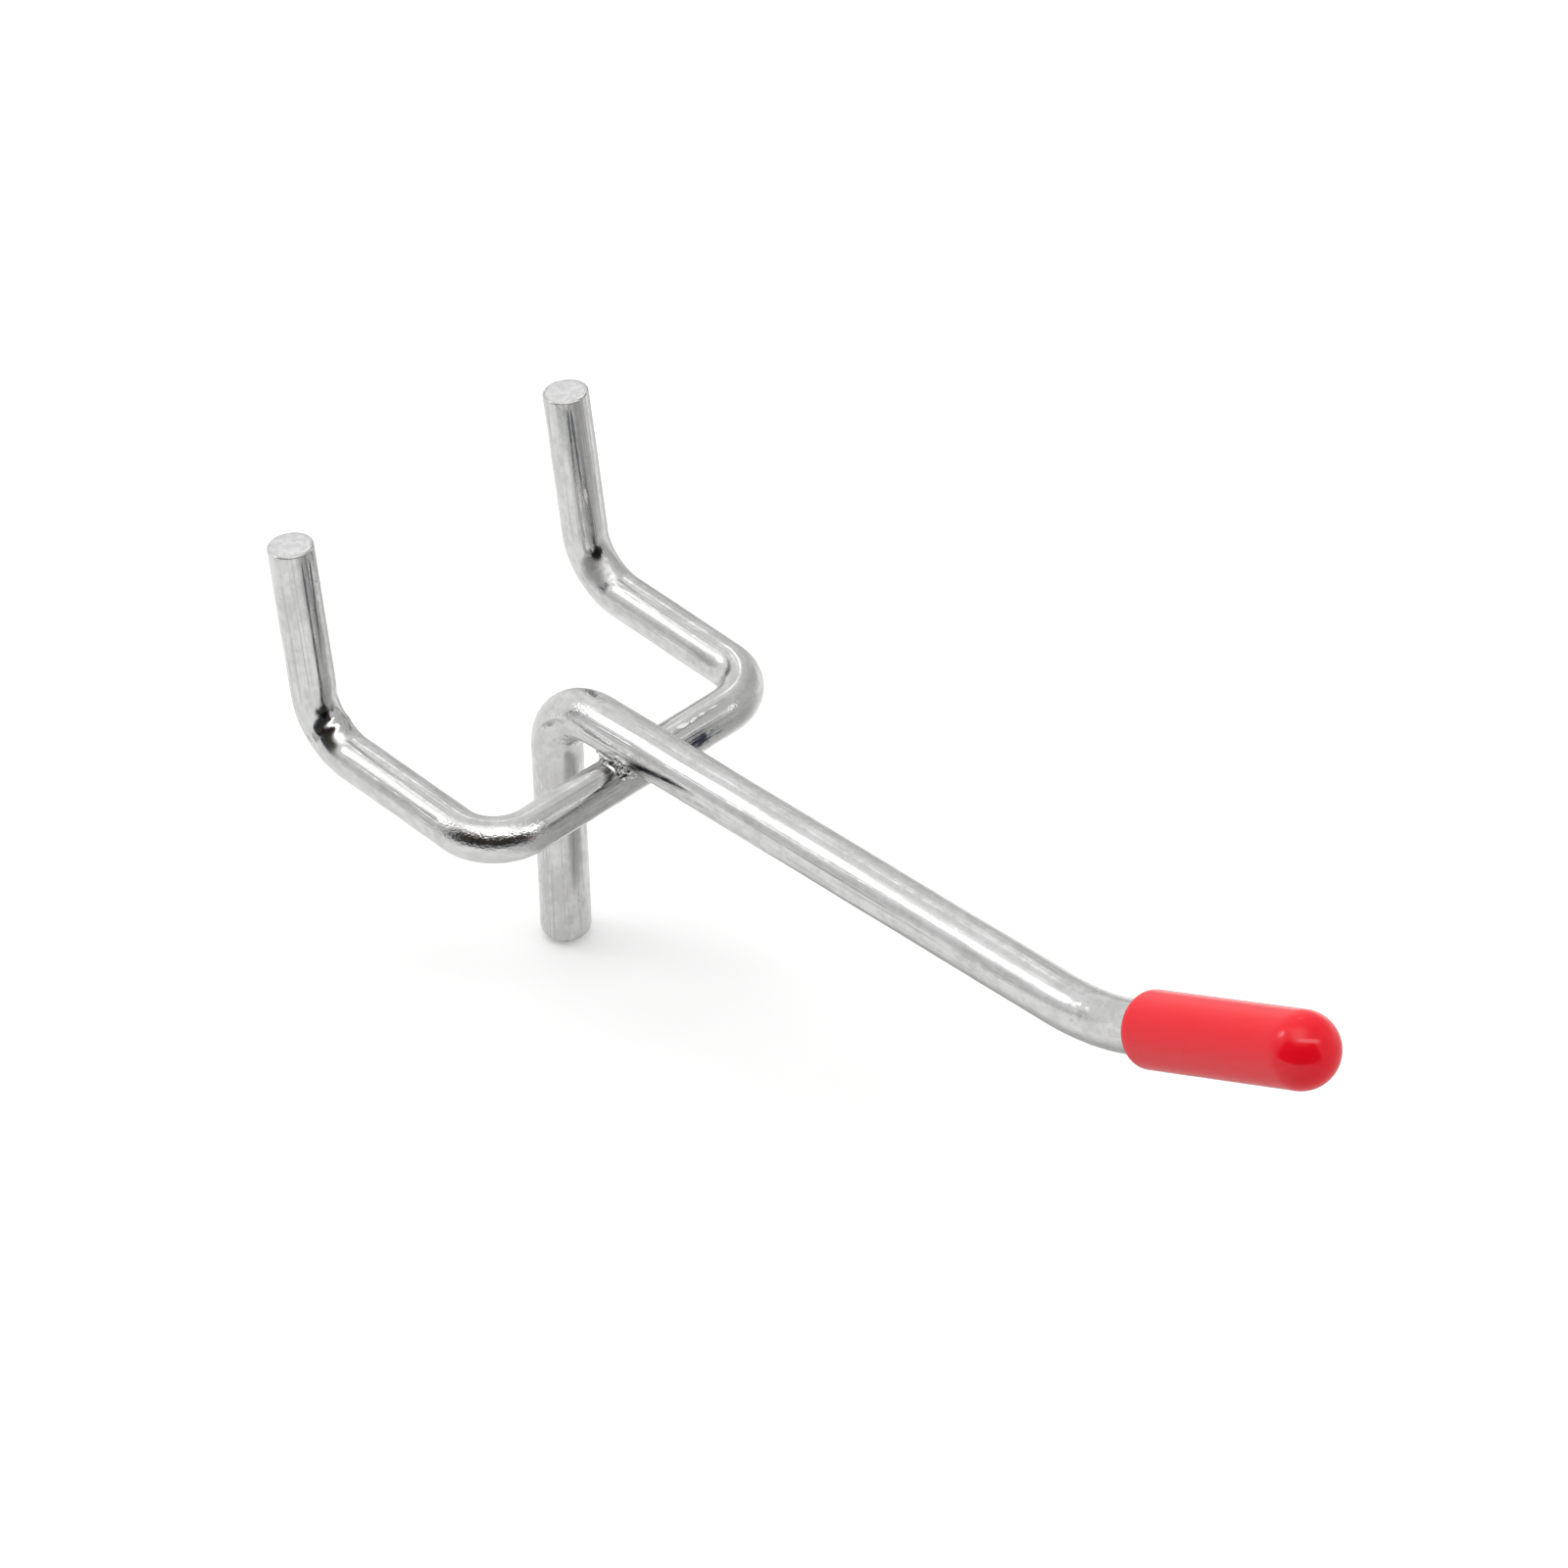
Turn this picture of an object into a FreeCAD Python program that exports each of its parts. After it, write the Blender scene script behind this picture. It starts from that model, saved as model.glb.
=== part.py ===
import FreeCAD, Part
import math
import os

import Sketcher

# A wire hook for a perforated board: two bent wires, welded where they cross, and a soft cap.
# The frame stands on the board: the board's front face is the plane y = 0, the line through the
# two holes runs along X at z = 0, +Y goes into the board, -Y out to whoever hangs things up.

SIZES = {
    # the bent wire at the back, which carries the two prongs
    "hole_spacing": 25.0,
    "back_wire_dia": 3.25,
    "standoff": 9.2,
    "crossbar_bend_radius": 3.6,
    "behind_board": 8.4,
    "prong_height": 15.8,
    "prong_lean_deg": 7.0,
    "prong_bend_radius": 4.0,
    "prong_end_break": 0.25,
    # the thicker bent wire, whose leg bears on the board and whose arm carries the goods
    "arm_wire_dia": 3.65,
    "leg_drop": 21.6,
    "foot_round": 0.9,
    "top_bend_radius": 5.0,
    "arm_rise_deg": 4.0,
    "arm_reach": 45.8,
    "tip_rise_deg": 23.0,
    "tip_bend_radius": 18.0,
    "tip_bare": 5.2,
    "tip_end_break": 0.3,
    # the weld: how far the two wires are pressed into each other, and the flash pressed out,
    # which thins from its crown to an edge
    "weld_set_down": 0.5,
    "flash_spread": 2.5,
    "flash_crown": 1.5,
    "flash_height": 0.9,
    # the soft cap pushed over the raised tip
    "cap_length": 17.9,
    "cap_wall": 0.8,
    "cap_rim_bevel": 0.4,
}

# The thicker wire's radius, and half of the hole spacing.
ARM_RADIUS = "sizes.arm_wire_dia / 2"
HALF_SPACING = "sizes.hole_spacing / 2"

# Where a shank ends and the bend into its prong begins.
BEND_START = "(sizes.behind_board - sizes.prong_bend_radius * tan((90 - sizes.prong_lean_deg) / 2 * 1deg))"

# The arm's line passes over the crossbar at the two radii less what the weld presses in.
CROSSING_GAP = "(sizes.back_wire_dia / 2 + sizes.arm_wire_dia / 2 - sizes.weld_set_down)"
ARM_HEIGHT = f"({CROSSING_GAP} / cos(sizes.arm_rise_deg * 1deg))"

# The seam of the weld lies midway through what is pressed in, this far above the crossbar's centre.
SEAM_UP = "(sizes.back_wire_dia / 2 - sizes.weld_set_down / 2)"

# The leg's back touches the board, and the arm's line meets the leg's at the top corner.
TOP_CORNER_HEIGHT = f"({ARM_HEIGHT} - (sizes.standoff - {ARM_RADIUS}) * tan(sizes.arm_rise_deg * 1deg))"
FOOT_HEIGHT = f"({TOP_CORNER_HEIGHT} - sizes.leg_drop)"

# The corner of the tip bend, the slope of the tip and the run of wire beyond that corner.
TIP_CORNER_OUT = "(sizes.standoff + sizes.arm_reach * cos(sizes.arm_rise_deg * 1deg))"
TIP_CORNER_HEIGHT = f"({ARM_HEIGHT} + sizes.arm_reach * sin(sizes.arm_rise_deg * 1deg))"
TIP_SLOPE = "(sizes.arm_rise_deg + sizes.tip_rise_deg)"
CAP_RADIUS = f"({ARM_RADIUS} + sizes.cap_wall)"
TIP_RUN = f"(sizes.tip_bare + sizes.cap_length - {CAP_RADIUS})"


# How a sketch names its own axes and origin, and the ends and centre of a line or an arc.
LEVEL_AXIS, UPRIGHT_AXIS = range(-1, -3, -1)
ORIGIN = LEVEL_AXIS
START, END, CENTRE = range(1, 4)

# Two points closer than this, in millimetres, are the same place.
ON_THE_SPOT = 0.01


def make_sheet(doc):
    """Put the driving sizes in a sheet, one named cell each."""
    sheet = doc.addObject("Spreadsheet::Sheet", "sizes")
    for row, (alias, number) in enumerate(SIZES.items(), start=1):
        sheet.set(f"A{row}", alias)
        sheet.set(f"B{row}", str(number))
        sheet.setAlias(f"B{row}", alias)
    doc.recompute()
    return sheet


def worth(doc, formula):
    """The present value of a formula, for the first placing of a sketch's lines."""
    answer = doc.getObject("sizes").evalExpression(formula)
    return float(getattr(answer, "Value", answer))


def make_body(doc, name):
    """A sub-part of its own, labelled with the name that its file gets."""
    body = doc.addObject("PartDesign::Body", name)
    body.Label = name
    return body


def plane_of(body, role):
    """One of the body's own origin planes."""
    return next(feature for feature in body.Origin.OriginFeatures if feature.Role == role)


def attach(feature, body, role, **offsets):
    """Lay a feature on an origin plane of its body, moved along the plane's own axes."""
    feature.AttachmentSupport = (plane_of(body, role), [""])
    feature.MapMode = "FlatFace"
    for axis, formula in offsets.items():
        feature.setExpression(f"AttachmentOffset.Base.{axis}", formula)


def make_sketch(body, name, role, **offsets):
    sketch = body.newObject("Sketcher::SketchObject", name)
    attach(sketch, body, role, **offsets)
    return sketch


def bind(sketch, name, constraint, formula):
    """Add a constraint that takes its size from the sheet."""
    index = sketch.addConstraint(constraint)
    sketch.renameConstraint(index, name)
    sketch.setExpression(f"Constraints.{name}", formula)


def line(start, end):
    return Part.LineSegment(FreeCAD.Vector(*start, 0), FreeCAD.Vector(*end, 0))


def arc(centre, radius, first_deg, last_deg):
    circle = Part.Circle(FreeCAD.Vector(*centre, 0), FreeCAD.Vector(0, 0, 1), radius)
    return Part.ArcOfCircle(circle, math.radians(first_deg), math.radians(last_deg))


def rule(sketch, *words):
    """Add a constraint that needs no size."""
    sketch.addConstraint(Sketcher.Constraint(*words))


def section(body, name, role, dia, **offsets):
    """The wire's round section, centred on the sketch's own origin."""
    sketch = make_sketch(body, name, role, **offsets)
    radius = worth(body.Document, dia) / 2
    sketch.addGeometry(Part.Circle(FreeCAD.Vector(0, 0, 0), FreeCAD.Vector(0, 0, 1), radius))
    rule(sketch, "Coincident", 0, CENTRE, ORIGIN, START)
    bind(sketch, "wire", Sketcher.Constraint("Diameter", 0, 2 * radius), dia)
    return sketch


def sweep(body, name, profile, spine):
    """Draw the wire's section along its centre line."""
    pipe = body.newObject("PartDesign::AdditivePipe", name)
    pipe.Profile = profile
    pipe.Spine = spine
    return pipe


def end_edges(feature, points):
    """The round edges of the wire's cut ends, found by their centres."""
    names = []
    for index, edge in enumerate(feature.Shape.Edges, start=1):
        if edge.Degenerated or not edge.isClosed() or not isinstance(edge.Curve, Part.Circle):
            continue
        if any(edge.Curve.Center.distanceToPoint(point) < ON_THE_SPOT for point in points):
            names.append(f"Edge{index}")
    return names


def break_edges(body, name, feature, edges, size):
    """Bevel the named edges."""
    bevel = body.newObject("PartDesign::Chamfer", name)
    bevel.Base = (feature, edges)
    bevel.setExpression("Size", size)
    return bevel


def round_edges(body, name, feature, edges, size):
    """Round the named edges."""
    fillet = body.newObject("PartDesign::Fillet", name)
    fillet.Base = (feature, edges)
    fillet.setExpression("Radius", size)
    return fillet


def press_in(body, name, role, dia, length, **offsets):
    """Take away the round room that another wire fills, along the normal of a plane."""
    room = body.newObject("PartDesign::SubtractiveCylinder", name)
    attach(room, body, role, z=f"-({length}) / 2", **offsets)
    room.setExpression("Radius", f"{dia} / 2")
    room.setExpression("Height", length)
    return room


def yoke_line(body):
    """The level part of the back wire: shank, crossbar, shank, with two round corners."""
    doc = body.Document
    half = worth(doc, HALF_SPACING)
    front = -worth(doc, "sizes.standoff")
    back = worth(doc, BEND_START)
    radius = worth(doc, "sizes.crossbar_bend_radius")
    sketch = make_sketch(body, "yoke_line", "XY_Plane")
    right, right_bend, crossbar, left_bend, left = range(5)
    sketch.addGeometry(line((half, back), (half, front + radius)))
    sketch.addGeometry(arc((half - radius, front + radius), radius, -90, 0))
    sketch.addGeometry(line((half - radius, front), (radius - half, front)))
    sketch.addGeometry(arc((radius - half, front + radius), radius, 180, 270))
    sketch.addGeometry(line((-half, front + radius), (-half, back)))
    rule(sketch, "Tangent", right, END, right_bend, END)
    rule(sketch, "Tangent", right_bend, START, crossbar, START)
    rule(sketch, "Tangent", crossbar, END, left_bend, END)
    rule(sketch, "Tangent", left_bend, START, left, START)
    rule(sketch, "Vertical", right)
    rule(sketch, "Vertical", left)
    rule(sketch, "Horizontal", crossbar)
    rule(sketch, "Symmetric", right, START, left, END, UPRIGHT_AXIS)
    rule(sketch, "Equal", right_bend, left_bend)
    bind(sketch, "corner", Sketcher.Constraint("Radius", right_bend, radius), "sizes.crossbar_bend_radius")
    bind(sketch, "half", Sketcher.Constraint("DistanceX", ORIGIN, START, right, START, half), HALF_SPACING)
    bind(sketch, "front", Sketcher.Constraint("DistanceY", crossbar, START, ORIGIN, START, -front),
         "sizes.standoff")
    bind(sketch, "shank", Sketcher.Constraint("DistanceY", crossbar, START, right, START, back - front),
         f"sizes.standoff + {BEND_START}")
    return sketch


def prong_line(body):
    """The bend from a shank into its prong, and the prong, leaning away from the board."""
    doc = body.Document
    back = worth(doc, BEND_START)
    corner = worth(doc, "sizes.behind_board")
    radius = worth(doc, "sizes.prong_bend_radius")
    lean = worth(doc, "sizes.prong_lean_deg")
    height = worth(doc, "sizes.prong_height")
    sine, cosine = math.sin(math.radians(lean)), math.cos(math.radians(lean))
    sketch = make_sketch(body, "prong_line", "YZ_Plane", z=HALF_SPACING)
    bend, prong, meeting = range(3)
    sketch.addGeometry(arc((back, radius), radius, -90, -lean))
    sketch.addGeometry(line((back + radius * cosine, radius - radius * sine),
                            (corner + height * sine, height * cosine)))
    sketch.addGeometry(Part.Point(FreeCAD.Vector(corner, 0, 0)), True)
    rule(sketch, "PointOnObject", bend, START, LEVEL_AXIS)
    rule(sketch, "Vertical", bend, START, bend, CENTRE)
    rule(sketch, "Tangent", bend, END, prong, START)
    rule(sketch, "PointOnObject", meeting, START, LEVEL_AXIS)
    rule(sketch, "PointOnObject", meeting, START, prong)
    bind(sketch, "bend", Sketcher.Constraint("Radius", bend, radius), "sizes.prong_bend_radius")
    bind(sketch, "corner", Sketcher.Constraint("DistanceX", ORIGIN, START, meeting, START, corner),
         "sizes.behind_board")
    bind(sketch, "lean", Sketcher.Constraint("Angle", prong, math.radians(90 - lean)),
         "90 - sizes.prong_lean_deg")
    bind(sketch, "height", Sketcher.Constraint("Distance", meeting, START, prong, END, height),
         "sizes.prong_height")
    return sketch


def make_back_wire(doc):
    """One wire: prong, shank, crossbar, shank, prong."""
    body = make_body(doc, "back_wire")
    level = yoke_line(body)
    raised = prong_line(body)
    cut = section(body, "shank_section", "XZ_Plane", "sizes.back_wire_dia",
                  x=HALF_SPACING, z=f"-{BEND_START}")
    doc.recompute()
    sweep(body, "yoke", cut, level)
    prong = sweep(body, "prong", cut, raised)
    doc.recompute()
    pair = body.newObject("PartDesign::Mirrored", "prong_pair")
    pair.Originals = [prong]
    pair.MirrorPlane = (plane_of(body, "YZ_Plane"), [""])
    body.Tip = pair
    doc.recompute()
    lean = math.radians(worth(doc, "sizes.prong_lean_deg"))
    height = worth(doc, "sizes.prong_height")
    half = worth(doc, HALF_SPACING)
    deep = worth(doc, "sizes.behind_board") + height * math.sin(lean)
    ends = [FreeCAD.Vector(side * half, deep, height * math.cos(lean)) for side in (-1, 1)]
    break_edges(body, "cut_ends", pair, end_edges(pair, ends), "sizes.prong_end_break")
    return body


def arm_line(body):
    """The arm wire's centre line: leg, top bend, arm, gentle bend, raised tip."""
    doc = body.Document
    leg_out = worth(doc, ARM_RADIUS)
    top, foot = worth(doc, TOP_CORNER_HEIGHT), worth(doc, FOOT_HEIGHT)
    over, height = worth(doc, "sizes.standoff"), worth(doc, ARM_HEIGHT)
    corner_out, corner_height = worth(doc, TIP_CORNER_OUT), worth(doc, TIP_CORNER_HEIGHT)
    rise, slope = worth(doc, "sizes.arm_rise_deg"), worth(doc, TIP_SLOPE)
    turn, reach = worth(doc, "sizes.tip_rise_deg"), worth(doc, "sizes.arm_reach")
    top_radius, tip_radius = worth(doc, "sizes.top_bend_radius"), worth(doc, "sizes.tip_bend_radius")
    run, drop = worth(doc, TIP_RUN), worth(doc, "sizes.leg_drop")
    along_arm = FreeCAD.Vector(-math.cos(math.radians(rise)), math.sin(math.radians(rise)), 0)
    along_tip = FreeCAD.Vector(-math.cos(math.radians(slope)), math.sin(math.radians(slope)), 0)
    top_corner = FreeCAD.Vector(-leg_out, top, 0)
    tip_corner = FreeCAD.Vector(-corner_out, corner_height, 0)
    top_setback = top_radius * math.tan(math.radians(90 - rise) / 2)
    tip_setback = tip_radius * math.tan(math.radians(turn) / 2)
    arm_start = top_corner + along_arm * top_setback
    arm_end = tip_corner - along_arm * tip_setback
    tip_start = tip_corner + along_tip * tip_setback
    tip_end = tip_corner + along_tip * run
    above_arm = FreeCAD.Vector(-along_arm.y, along_arm.x, 0) * -tip_radius
    tip_centre = arm_end + above_arm

    sketch = make_sketch(body, "arm_line", "YZ_Plane")
    leg, top_bend, arm, tip_bend, tip, top_meeting, tip_meeting, crossing = range(8)
    sketch.addGeometry(line((-leg_out, foot), (-leg_out, top - top_setback)))
    sketch.addGeometry(arc((-leg_out - top_radius, top - top_setback), top_radius, 0, 90 - rise))
    sketch.addGeometry(Part.LineSegment(arm_start, arm_end))
    sketch.addGeometry(arc((tip_centre.x, tip_centre.y), tip_radius, -90 - slope, -90 - rise))
    sketch.addGeometry(Part.LineSegment(tip_start, tip_end))
    sketch.addGeometry(Part.Point(top_corner), True)
    sketch.addGeometry(Part.Point(tip_corner), True)
    sketch.addGeometry(Part.Point(FreeCAD.Vector(-over, height, 0)), True)
    rule(sketch, "Vertical", leg)
    rule(sketch, "Tangent", leg, END, top_bend, START)
    rule(sketch, "Tangent", top_bend, END, arm, START)
    rule(sketch, "Tangent", arm, END, tip_bend, END)
    rule(sketch, "Tangent", tip_bend, START, tip, START)
    rule(sketch, "PointOnObject", top_meeting, START, leg)
    rule(sketch, "PointOnObject", top_meeting, START, arm)
    rule(sketch, "PointOnObject", tip_meeting, START, arm)
    rule(sketch, "PointOnObject", tip_meeting, START, tip)
    rule(sketch, "PointOnObject", crossing, START, arm)
    bind(sketch, "top_bend", Sketcher.Constraint("Radius", top_bend, top_radius), "sizes.top_bend_radius")
    bind(sketch, "tip_bend", Sketcher.Constraint("Radius", tip_bend, tip_radius), "sizes.tip_bend_radius")
    bind(sketch, "on_board", Sketcher.Constraint("DistanceX", leg, START, ORIGIN, START, leg_out),
         ARM_RADIUS)
    bind(sketch, "over", Sketcher.Constraint("DistanceX", crossing, START, ORIGIN, START, over),
         "sizes.standoff")
    bind(sketch, "height", Sketcher.Constraint("DistanceY", ORIGIN, START, crossing, START, height),
         ARM_HEIGHT)
    bind(sketch, "rise", Sketcher.Constraint("Angle", arm, math.radians(180 - rise)),
         "180 - sizes.arm_rise_deg")
    bind(sketch, "slope", Sketcher.Constraint("Angle", tip, math.radians(180 - slope)),
         f"180 - {TIP_SLOPE}")
    bind(sketch, "drop", Sketcher.Constraint("Distance", top_meeting, START, leg, START, drop),
         "sizes.leg_drop")
    bind(sketch, "reach", Sketcher.Constraint("Distance", crossing, START, tip_meeting, START, reach),
         "sizes.arm_reach")
    bind(sketch, "run", Sketcher.Constraint("Distance", tip_meeting, START, tip, END, run), TIP_RUN)
    return sketch


def make_arm_wire(doc):
    """One thicker wire, with a rounded foot and a saddle where it is pressed on the crossbar."""
    body = make_body(doc, "arm_wire")
    route = arm_line(body)
    cut = section(body, "foot_section", "XY_Plane", "sizes.arm_wire_dia", y=f"-{ARM_RADIUS}", z=FOOT_HEIGHT)
    doc.recompute()
    wire = sweep(body, "wire", cut, route)
    doc.recompute()
    foot = FreeCAD.Vector(0, -worth(doc, ARM_RADIUS), worth(doc, FOOT_HEIGHT))
    rounded = round_edges(body, "foot_edge", wire, end_edges(wire, [foot]), "sizes.foot_round")
    doc.recompute()
    slope = math.radians(worth(doc, TIP_SLOPE))
    run = worth(doc, TIP_RUN)
    tip = FreeCAD.Vector(0, -worth(doc, TIP_CORNER_OUT) - run * math.cos(slope),
                         worth(doc, TIP_CORNER_HEIGHT) + run * math.sin(slope))
    break_edges(body, "tip_edge", rounded, end_edges(rounded, [tip]), "sizes.tip_end_break")
    press_in(body, "saddle", "YZ_Plane", "sizes.back_wire_dia", "sizes.arm_wire_dia * 2",
             x="-sizes.standoff")
    return body


def make_cross_weld(doc, back_wire, arm_wire):
    """The flash that the weld presses out all round the crossing: a round blob with a thin edge,
    tilted with the arm, less the two wires that it lies between."""
    rise = worth(doc, "sizes.arm_rise_deg")
    for name, turn in (("flash_above", 0), ("flash_below", 180)):
        half = doc.addObject("Part::Cone", name)
        half.setExpression("Radius1", "sizes.flash_spread")
        half.setExpression("Radius2", "sizes.flash_crown")
        half.setExpression("Height", "sizes.flash_height")
        half.Placement.Rotation = FreeCAD.Rotation(FreeCAD.Vector(1, 0, 0), turn - rise)
        half.setExpression("Placement.Rotation.Angle", f"{turn} - sizes.arm_rise_deg")
        half.setExpression("Placement.Base.y",
                           f"{SEAM_UP} * sin(sizes.arm_rise_deg * 1deg) - sizes.standoff")
        half.setExpression("Placement.Base.z", f"{SEAM_UP} * cos(sizes.arm_rise_deg * 1deg)")
    blob = doc.addObject("Part::Fuse", "flash_blob")
    blob.Base = doc.getObject("flash_above")
    blob.Tool = doc.getObject("flash_below")
    over_crossbar = doc.addObject("Part::Cut", "flash_over_crossbar")
    over_crossbar.Base = blob
    over_crossbar.Tool = back_wire
    weld = doc.addObject("Part::Cut", "cross_weld")
    weld.Label = "cross_weld"
    weld.Base = over_crossbar
    weld.Tool = arm_wire
    return weld


def cap_outline(body):
    """Half of the cap's section: an even wall round the wire, closed by a thick dome on whose
    flat inner face the wire's end seats."""
    doc = body.Document
    bore, outer = worth(doc, ARM_RADIUS), worth(doc, CAP_RADIUS)
    length, wall = worth(doc, "sizes.cap_length"), worth(doc, "sizes.cap_wall")
    straight = length - outer
    sketch = make_sketch(body, "cap_outline", "XZ_Plane")
    rim, side, dome, crown, seat, bore_side = range(6)
    sketch.addGeometry(line((bore, 0), (outer, 0)))
    sketch.addGeometry(line((outer, 0), (outer, straight)))
    sketch.addGeometry(arc((0, straight), outer, 0, 90))
    sketch.addGeometry(line((0, length), (0, straight)))
    sketch.addGeometry(line((0, straight), (bore, straight)))
    sketch.addGeometry(line((bore, straight), (bore, 0)))
    rule(sketch, "Coincident", rim, END, side, START)
    rule(sketch, "Tangent", side, END, dome, START)
    rule(sketch, "Coincident", dome, END, crown, START)
    rule(sketch, "Coincident", crown, END, dome, CENTRE)
    rule(sketch, "Coincident", crown, END, seat, START)
    rule(sketch, "Coincident", seat, END, bore_side, START)
    rule(sketch, "Coincident", bore_side, END, rim, START)
    rule(sketch, "PointOnObject", rim, START, LEVEL_AXIS)
    rule(sketch, "PointOnObject", crown, START, UPRIGHT_AXIS)
    rule(sketch, "Vertical", crown)
    rule(sketch, "Horizontal", rim)
    rule(sketch, "Vertical", side)
    rule(sketch, "Horizontal", seat)
    rule(sketch, "Vertical", bore_side)
    bind(sketch, "bore", Sketcher.Constraint("DistanceX", seat, START, seat, END, bore), ARM_RADIUS)
    bind(sketch, "wall", Sketcher.Constraint("DistanceX", rim, START, rim, END, wall), "sizes.cap_wall")
    bind(sketch, "length", Sketcher.Constraint("DistanceY", ORIGIN, START, crown, START, length),
         "sizes.cap_length")
    return sketch


def make_tip_cap(doc):
    """The soft cap: its open rim lies a little past the tip bend, its bore fits the wire."""
    body = make_body(doc, "tip_cap")
    lean = 90 - worth(doc, TIP_SLOPE)
    body.Placement.Rotation = FreeCAD.Rotation(FreeCAD.Vector(1, 0, 0), lean)
    body.setExpression("Placement.Rotation.Angle", f"90 - {TIP_SLOPE}")
    body.setExpression("Placement.Base.y", f"-{TIP_CORNER_OUT} - sizes.tip_bare * cos({TIP_SLOPE} * 1deg)")
    body.setExpression("Placement.Base.z", f"{TIP_CORNER_HEIGHT} + sizes.tip_bare * sin({TIP_SLOPE} * 1deg)")
    outline = cap_outline(body)
    doc.recompute()
    turned = body.newObject("PartDesign::Revolution", "turned")
    turned.Profile = outline
    turned.ReferenceAxis = (outline, ["V_Axis"])
    turned.Angle = 360
    doc.recompute()
    rims = [name for name in end_edges(turned, [FreeCAD.Vector(0, 0, 0)])
            if turned.Shape.getElement(name).Curve.Radius > worth(doc, ARM_RADIUS) + ON_THE_SPOT]
    break_edges(body, "rim_edge", turned, rims, "sizes.cap_rim_bevel")
    return body


def check(doc, pieces):
    """Stop before anything is written if a feature failed or a piece isn't one sound solid."""
    failed = [item.Name for item in doc.Objects if {"Invalid", "Error"} & set(item.State)]
    if failed:
        raise RuntimeError(f"features failed: {failed}")
    for piece in pieces:
        shape = piece.Shape
        if shape.isNull() or not shape.isValid() or len(shape.Solids) != 1:
            raise RuntimeError(f"{piece.Label} is not one sound solid")
    for sketch in doc.findObjects("Sketcher::SketchObject"):
        if sketch.solve() != 0:
            raise RuntimeError(f"{sketch.Name} does not solve")


def build():
    doc = FreeCAD.newDocument("pegboard_hook")
    make_sheet(doc)
    back_wire = make_back_wire(doc)
    arm_wire = make_arm_wire(doc)
    cross_weld = make_cross_weld(doc, back_wire, arm_wire)
    tip_cap = make_tip_cap(doc)
    doc.recompute()
    pieces = [back_wire, arm_wire, cross_weld, tip_cap]
    check(doc, pieces)
    os.makedirs("parts", exist_ok=True)
    for piece in pieces:
        piece.Shape.exportStep(f"parts/{piece.Label}.step")
        box = piece.Shape.optimalBoundingBox()
        print(f"{piece.Label}: {piece.Shape.Volume:.1f} mm3, x {box.XMin:.2f} to {box.XMax:.2f},"
              f" y {box.YMin:.2f} to {box.YMax:.2f}, z {box.ZMin:.2f} to {box.ZMax:.2f}")


build()
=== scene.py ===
import math
from functools import partial, reduce
from types import SimpleNamespace

import bmesh
import bpy
import numpy as np
from mathutils import Matrix, Vector


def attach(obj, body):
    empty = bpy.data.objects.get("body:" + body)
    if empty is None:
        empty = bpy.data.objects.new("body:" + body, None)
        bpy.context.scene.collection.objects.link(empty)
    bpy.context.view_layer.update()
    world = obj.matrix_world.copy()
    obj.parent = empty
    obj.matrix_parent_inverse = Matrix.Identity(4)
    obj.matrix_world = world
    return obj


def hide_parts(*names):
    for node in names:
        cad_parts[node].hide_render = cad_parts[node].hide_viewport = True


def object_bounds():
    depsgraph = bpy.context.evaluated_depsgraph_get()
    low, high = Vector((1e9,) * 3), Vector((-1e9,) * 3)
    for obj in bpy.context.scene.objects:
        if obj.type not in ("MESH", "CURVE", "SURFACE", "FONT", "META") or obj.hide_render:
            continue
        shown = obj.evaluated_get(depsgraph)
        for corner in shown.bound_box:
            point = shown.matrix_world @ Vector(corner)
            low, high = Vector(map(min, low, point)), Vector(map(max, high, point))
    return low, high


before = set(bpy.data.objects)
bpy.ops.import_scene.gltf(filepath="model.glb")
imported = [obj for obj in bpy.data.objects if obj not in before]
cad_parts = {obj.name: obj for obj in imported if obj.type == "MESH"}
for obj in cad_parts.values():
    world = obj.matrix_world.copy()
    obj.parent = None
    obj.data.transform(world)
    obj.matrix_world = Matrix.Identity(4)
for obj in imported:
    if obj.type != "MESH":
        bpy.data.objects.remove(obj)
cad_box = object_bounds()

MM = 0.001

# The hook's driving sizes, in millimetres and degrees, as a wire bender would write them down.
# The board's front face is y = 0 and the two holes lie on z = 0.
HOLE_SPACING = 25.0
BACK_WIRE_DIA = 3.25
STANDOFF = 9.2
CROSSBAR_BEND_RADIUS = 3.6
BEHIND_BOARD = 8.4
PRONG_HEIGHT = 15.8
PRONG_LEAN = 7.0
PRONG_BEND_RADIUS = 4.0
ARM_WIRE_DIA = 3.65
LEG_DROP = 21.6
TOP_BEND_RADIUS = 5.0
ARM_RISE = 4.0
ARM_REACH = 45.8
TIP_RISE = 23.0
TIP_BEND_RADIUS = 18.0
TIP_BARE = 5.2
WELD_SET_DOWN = 0.5
CAP_LENGTH = 17.9
CAP_WALL = 0.8
CAP_RIM_ROUND = 0.62

# How the wires' ends are finished: the round of the edge, and how far the cut face bulges.
SHEARED_END = (0.14, 0.05)
FOOT_END = (0.9, 0.04)
HIDDEN_END = (0.3, 0.04)
RIGHT_PRONG_SHORT = 0.45

# How each bend was pinched: the share of it where the crest is, how hard before and after, and the
# crest's width.
BACK_PINCHES = [
    (0.50, 0.90, 0.15, 0.5),
    (0.50, 0.15, 0.15, 0.8),
    (0.55, 0.06, 0.06, 0.5),
    (0.48, 0.10, 0.35, 0.6),
]
ARM_PINCHES = [(0.55, 1.0, 1.0, 2.0), (0.5, 0.5, 0.5, 1.5)]
# a bend's work starts a little before the bend and is full a little way into it, as shares of its length
WORK_STARTS, WORK_FULL = -0.25, 0.1

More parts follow.
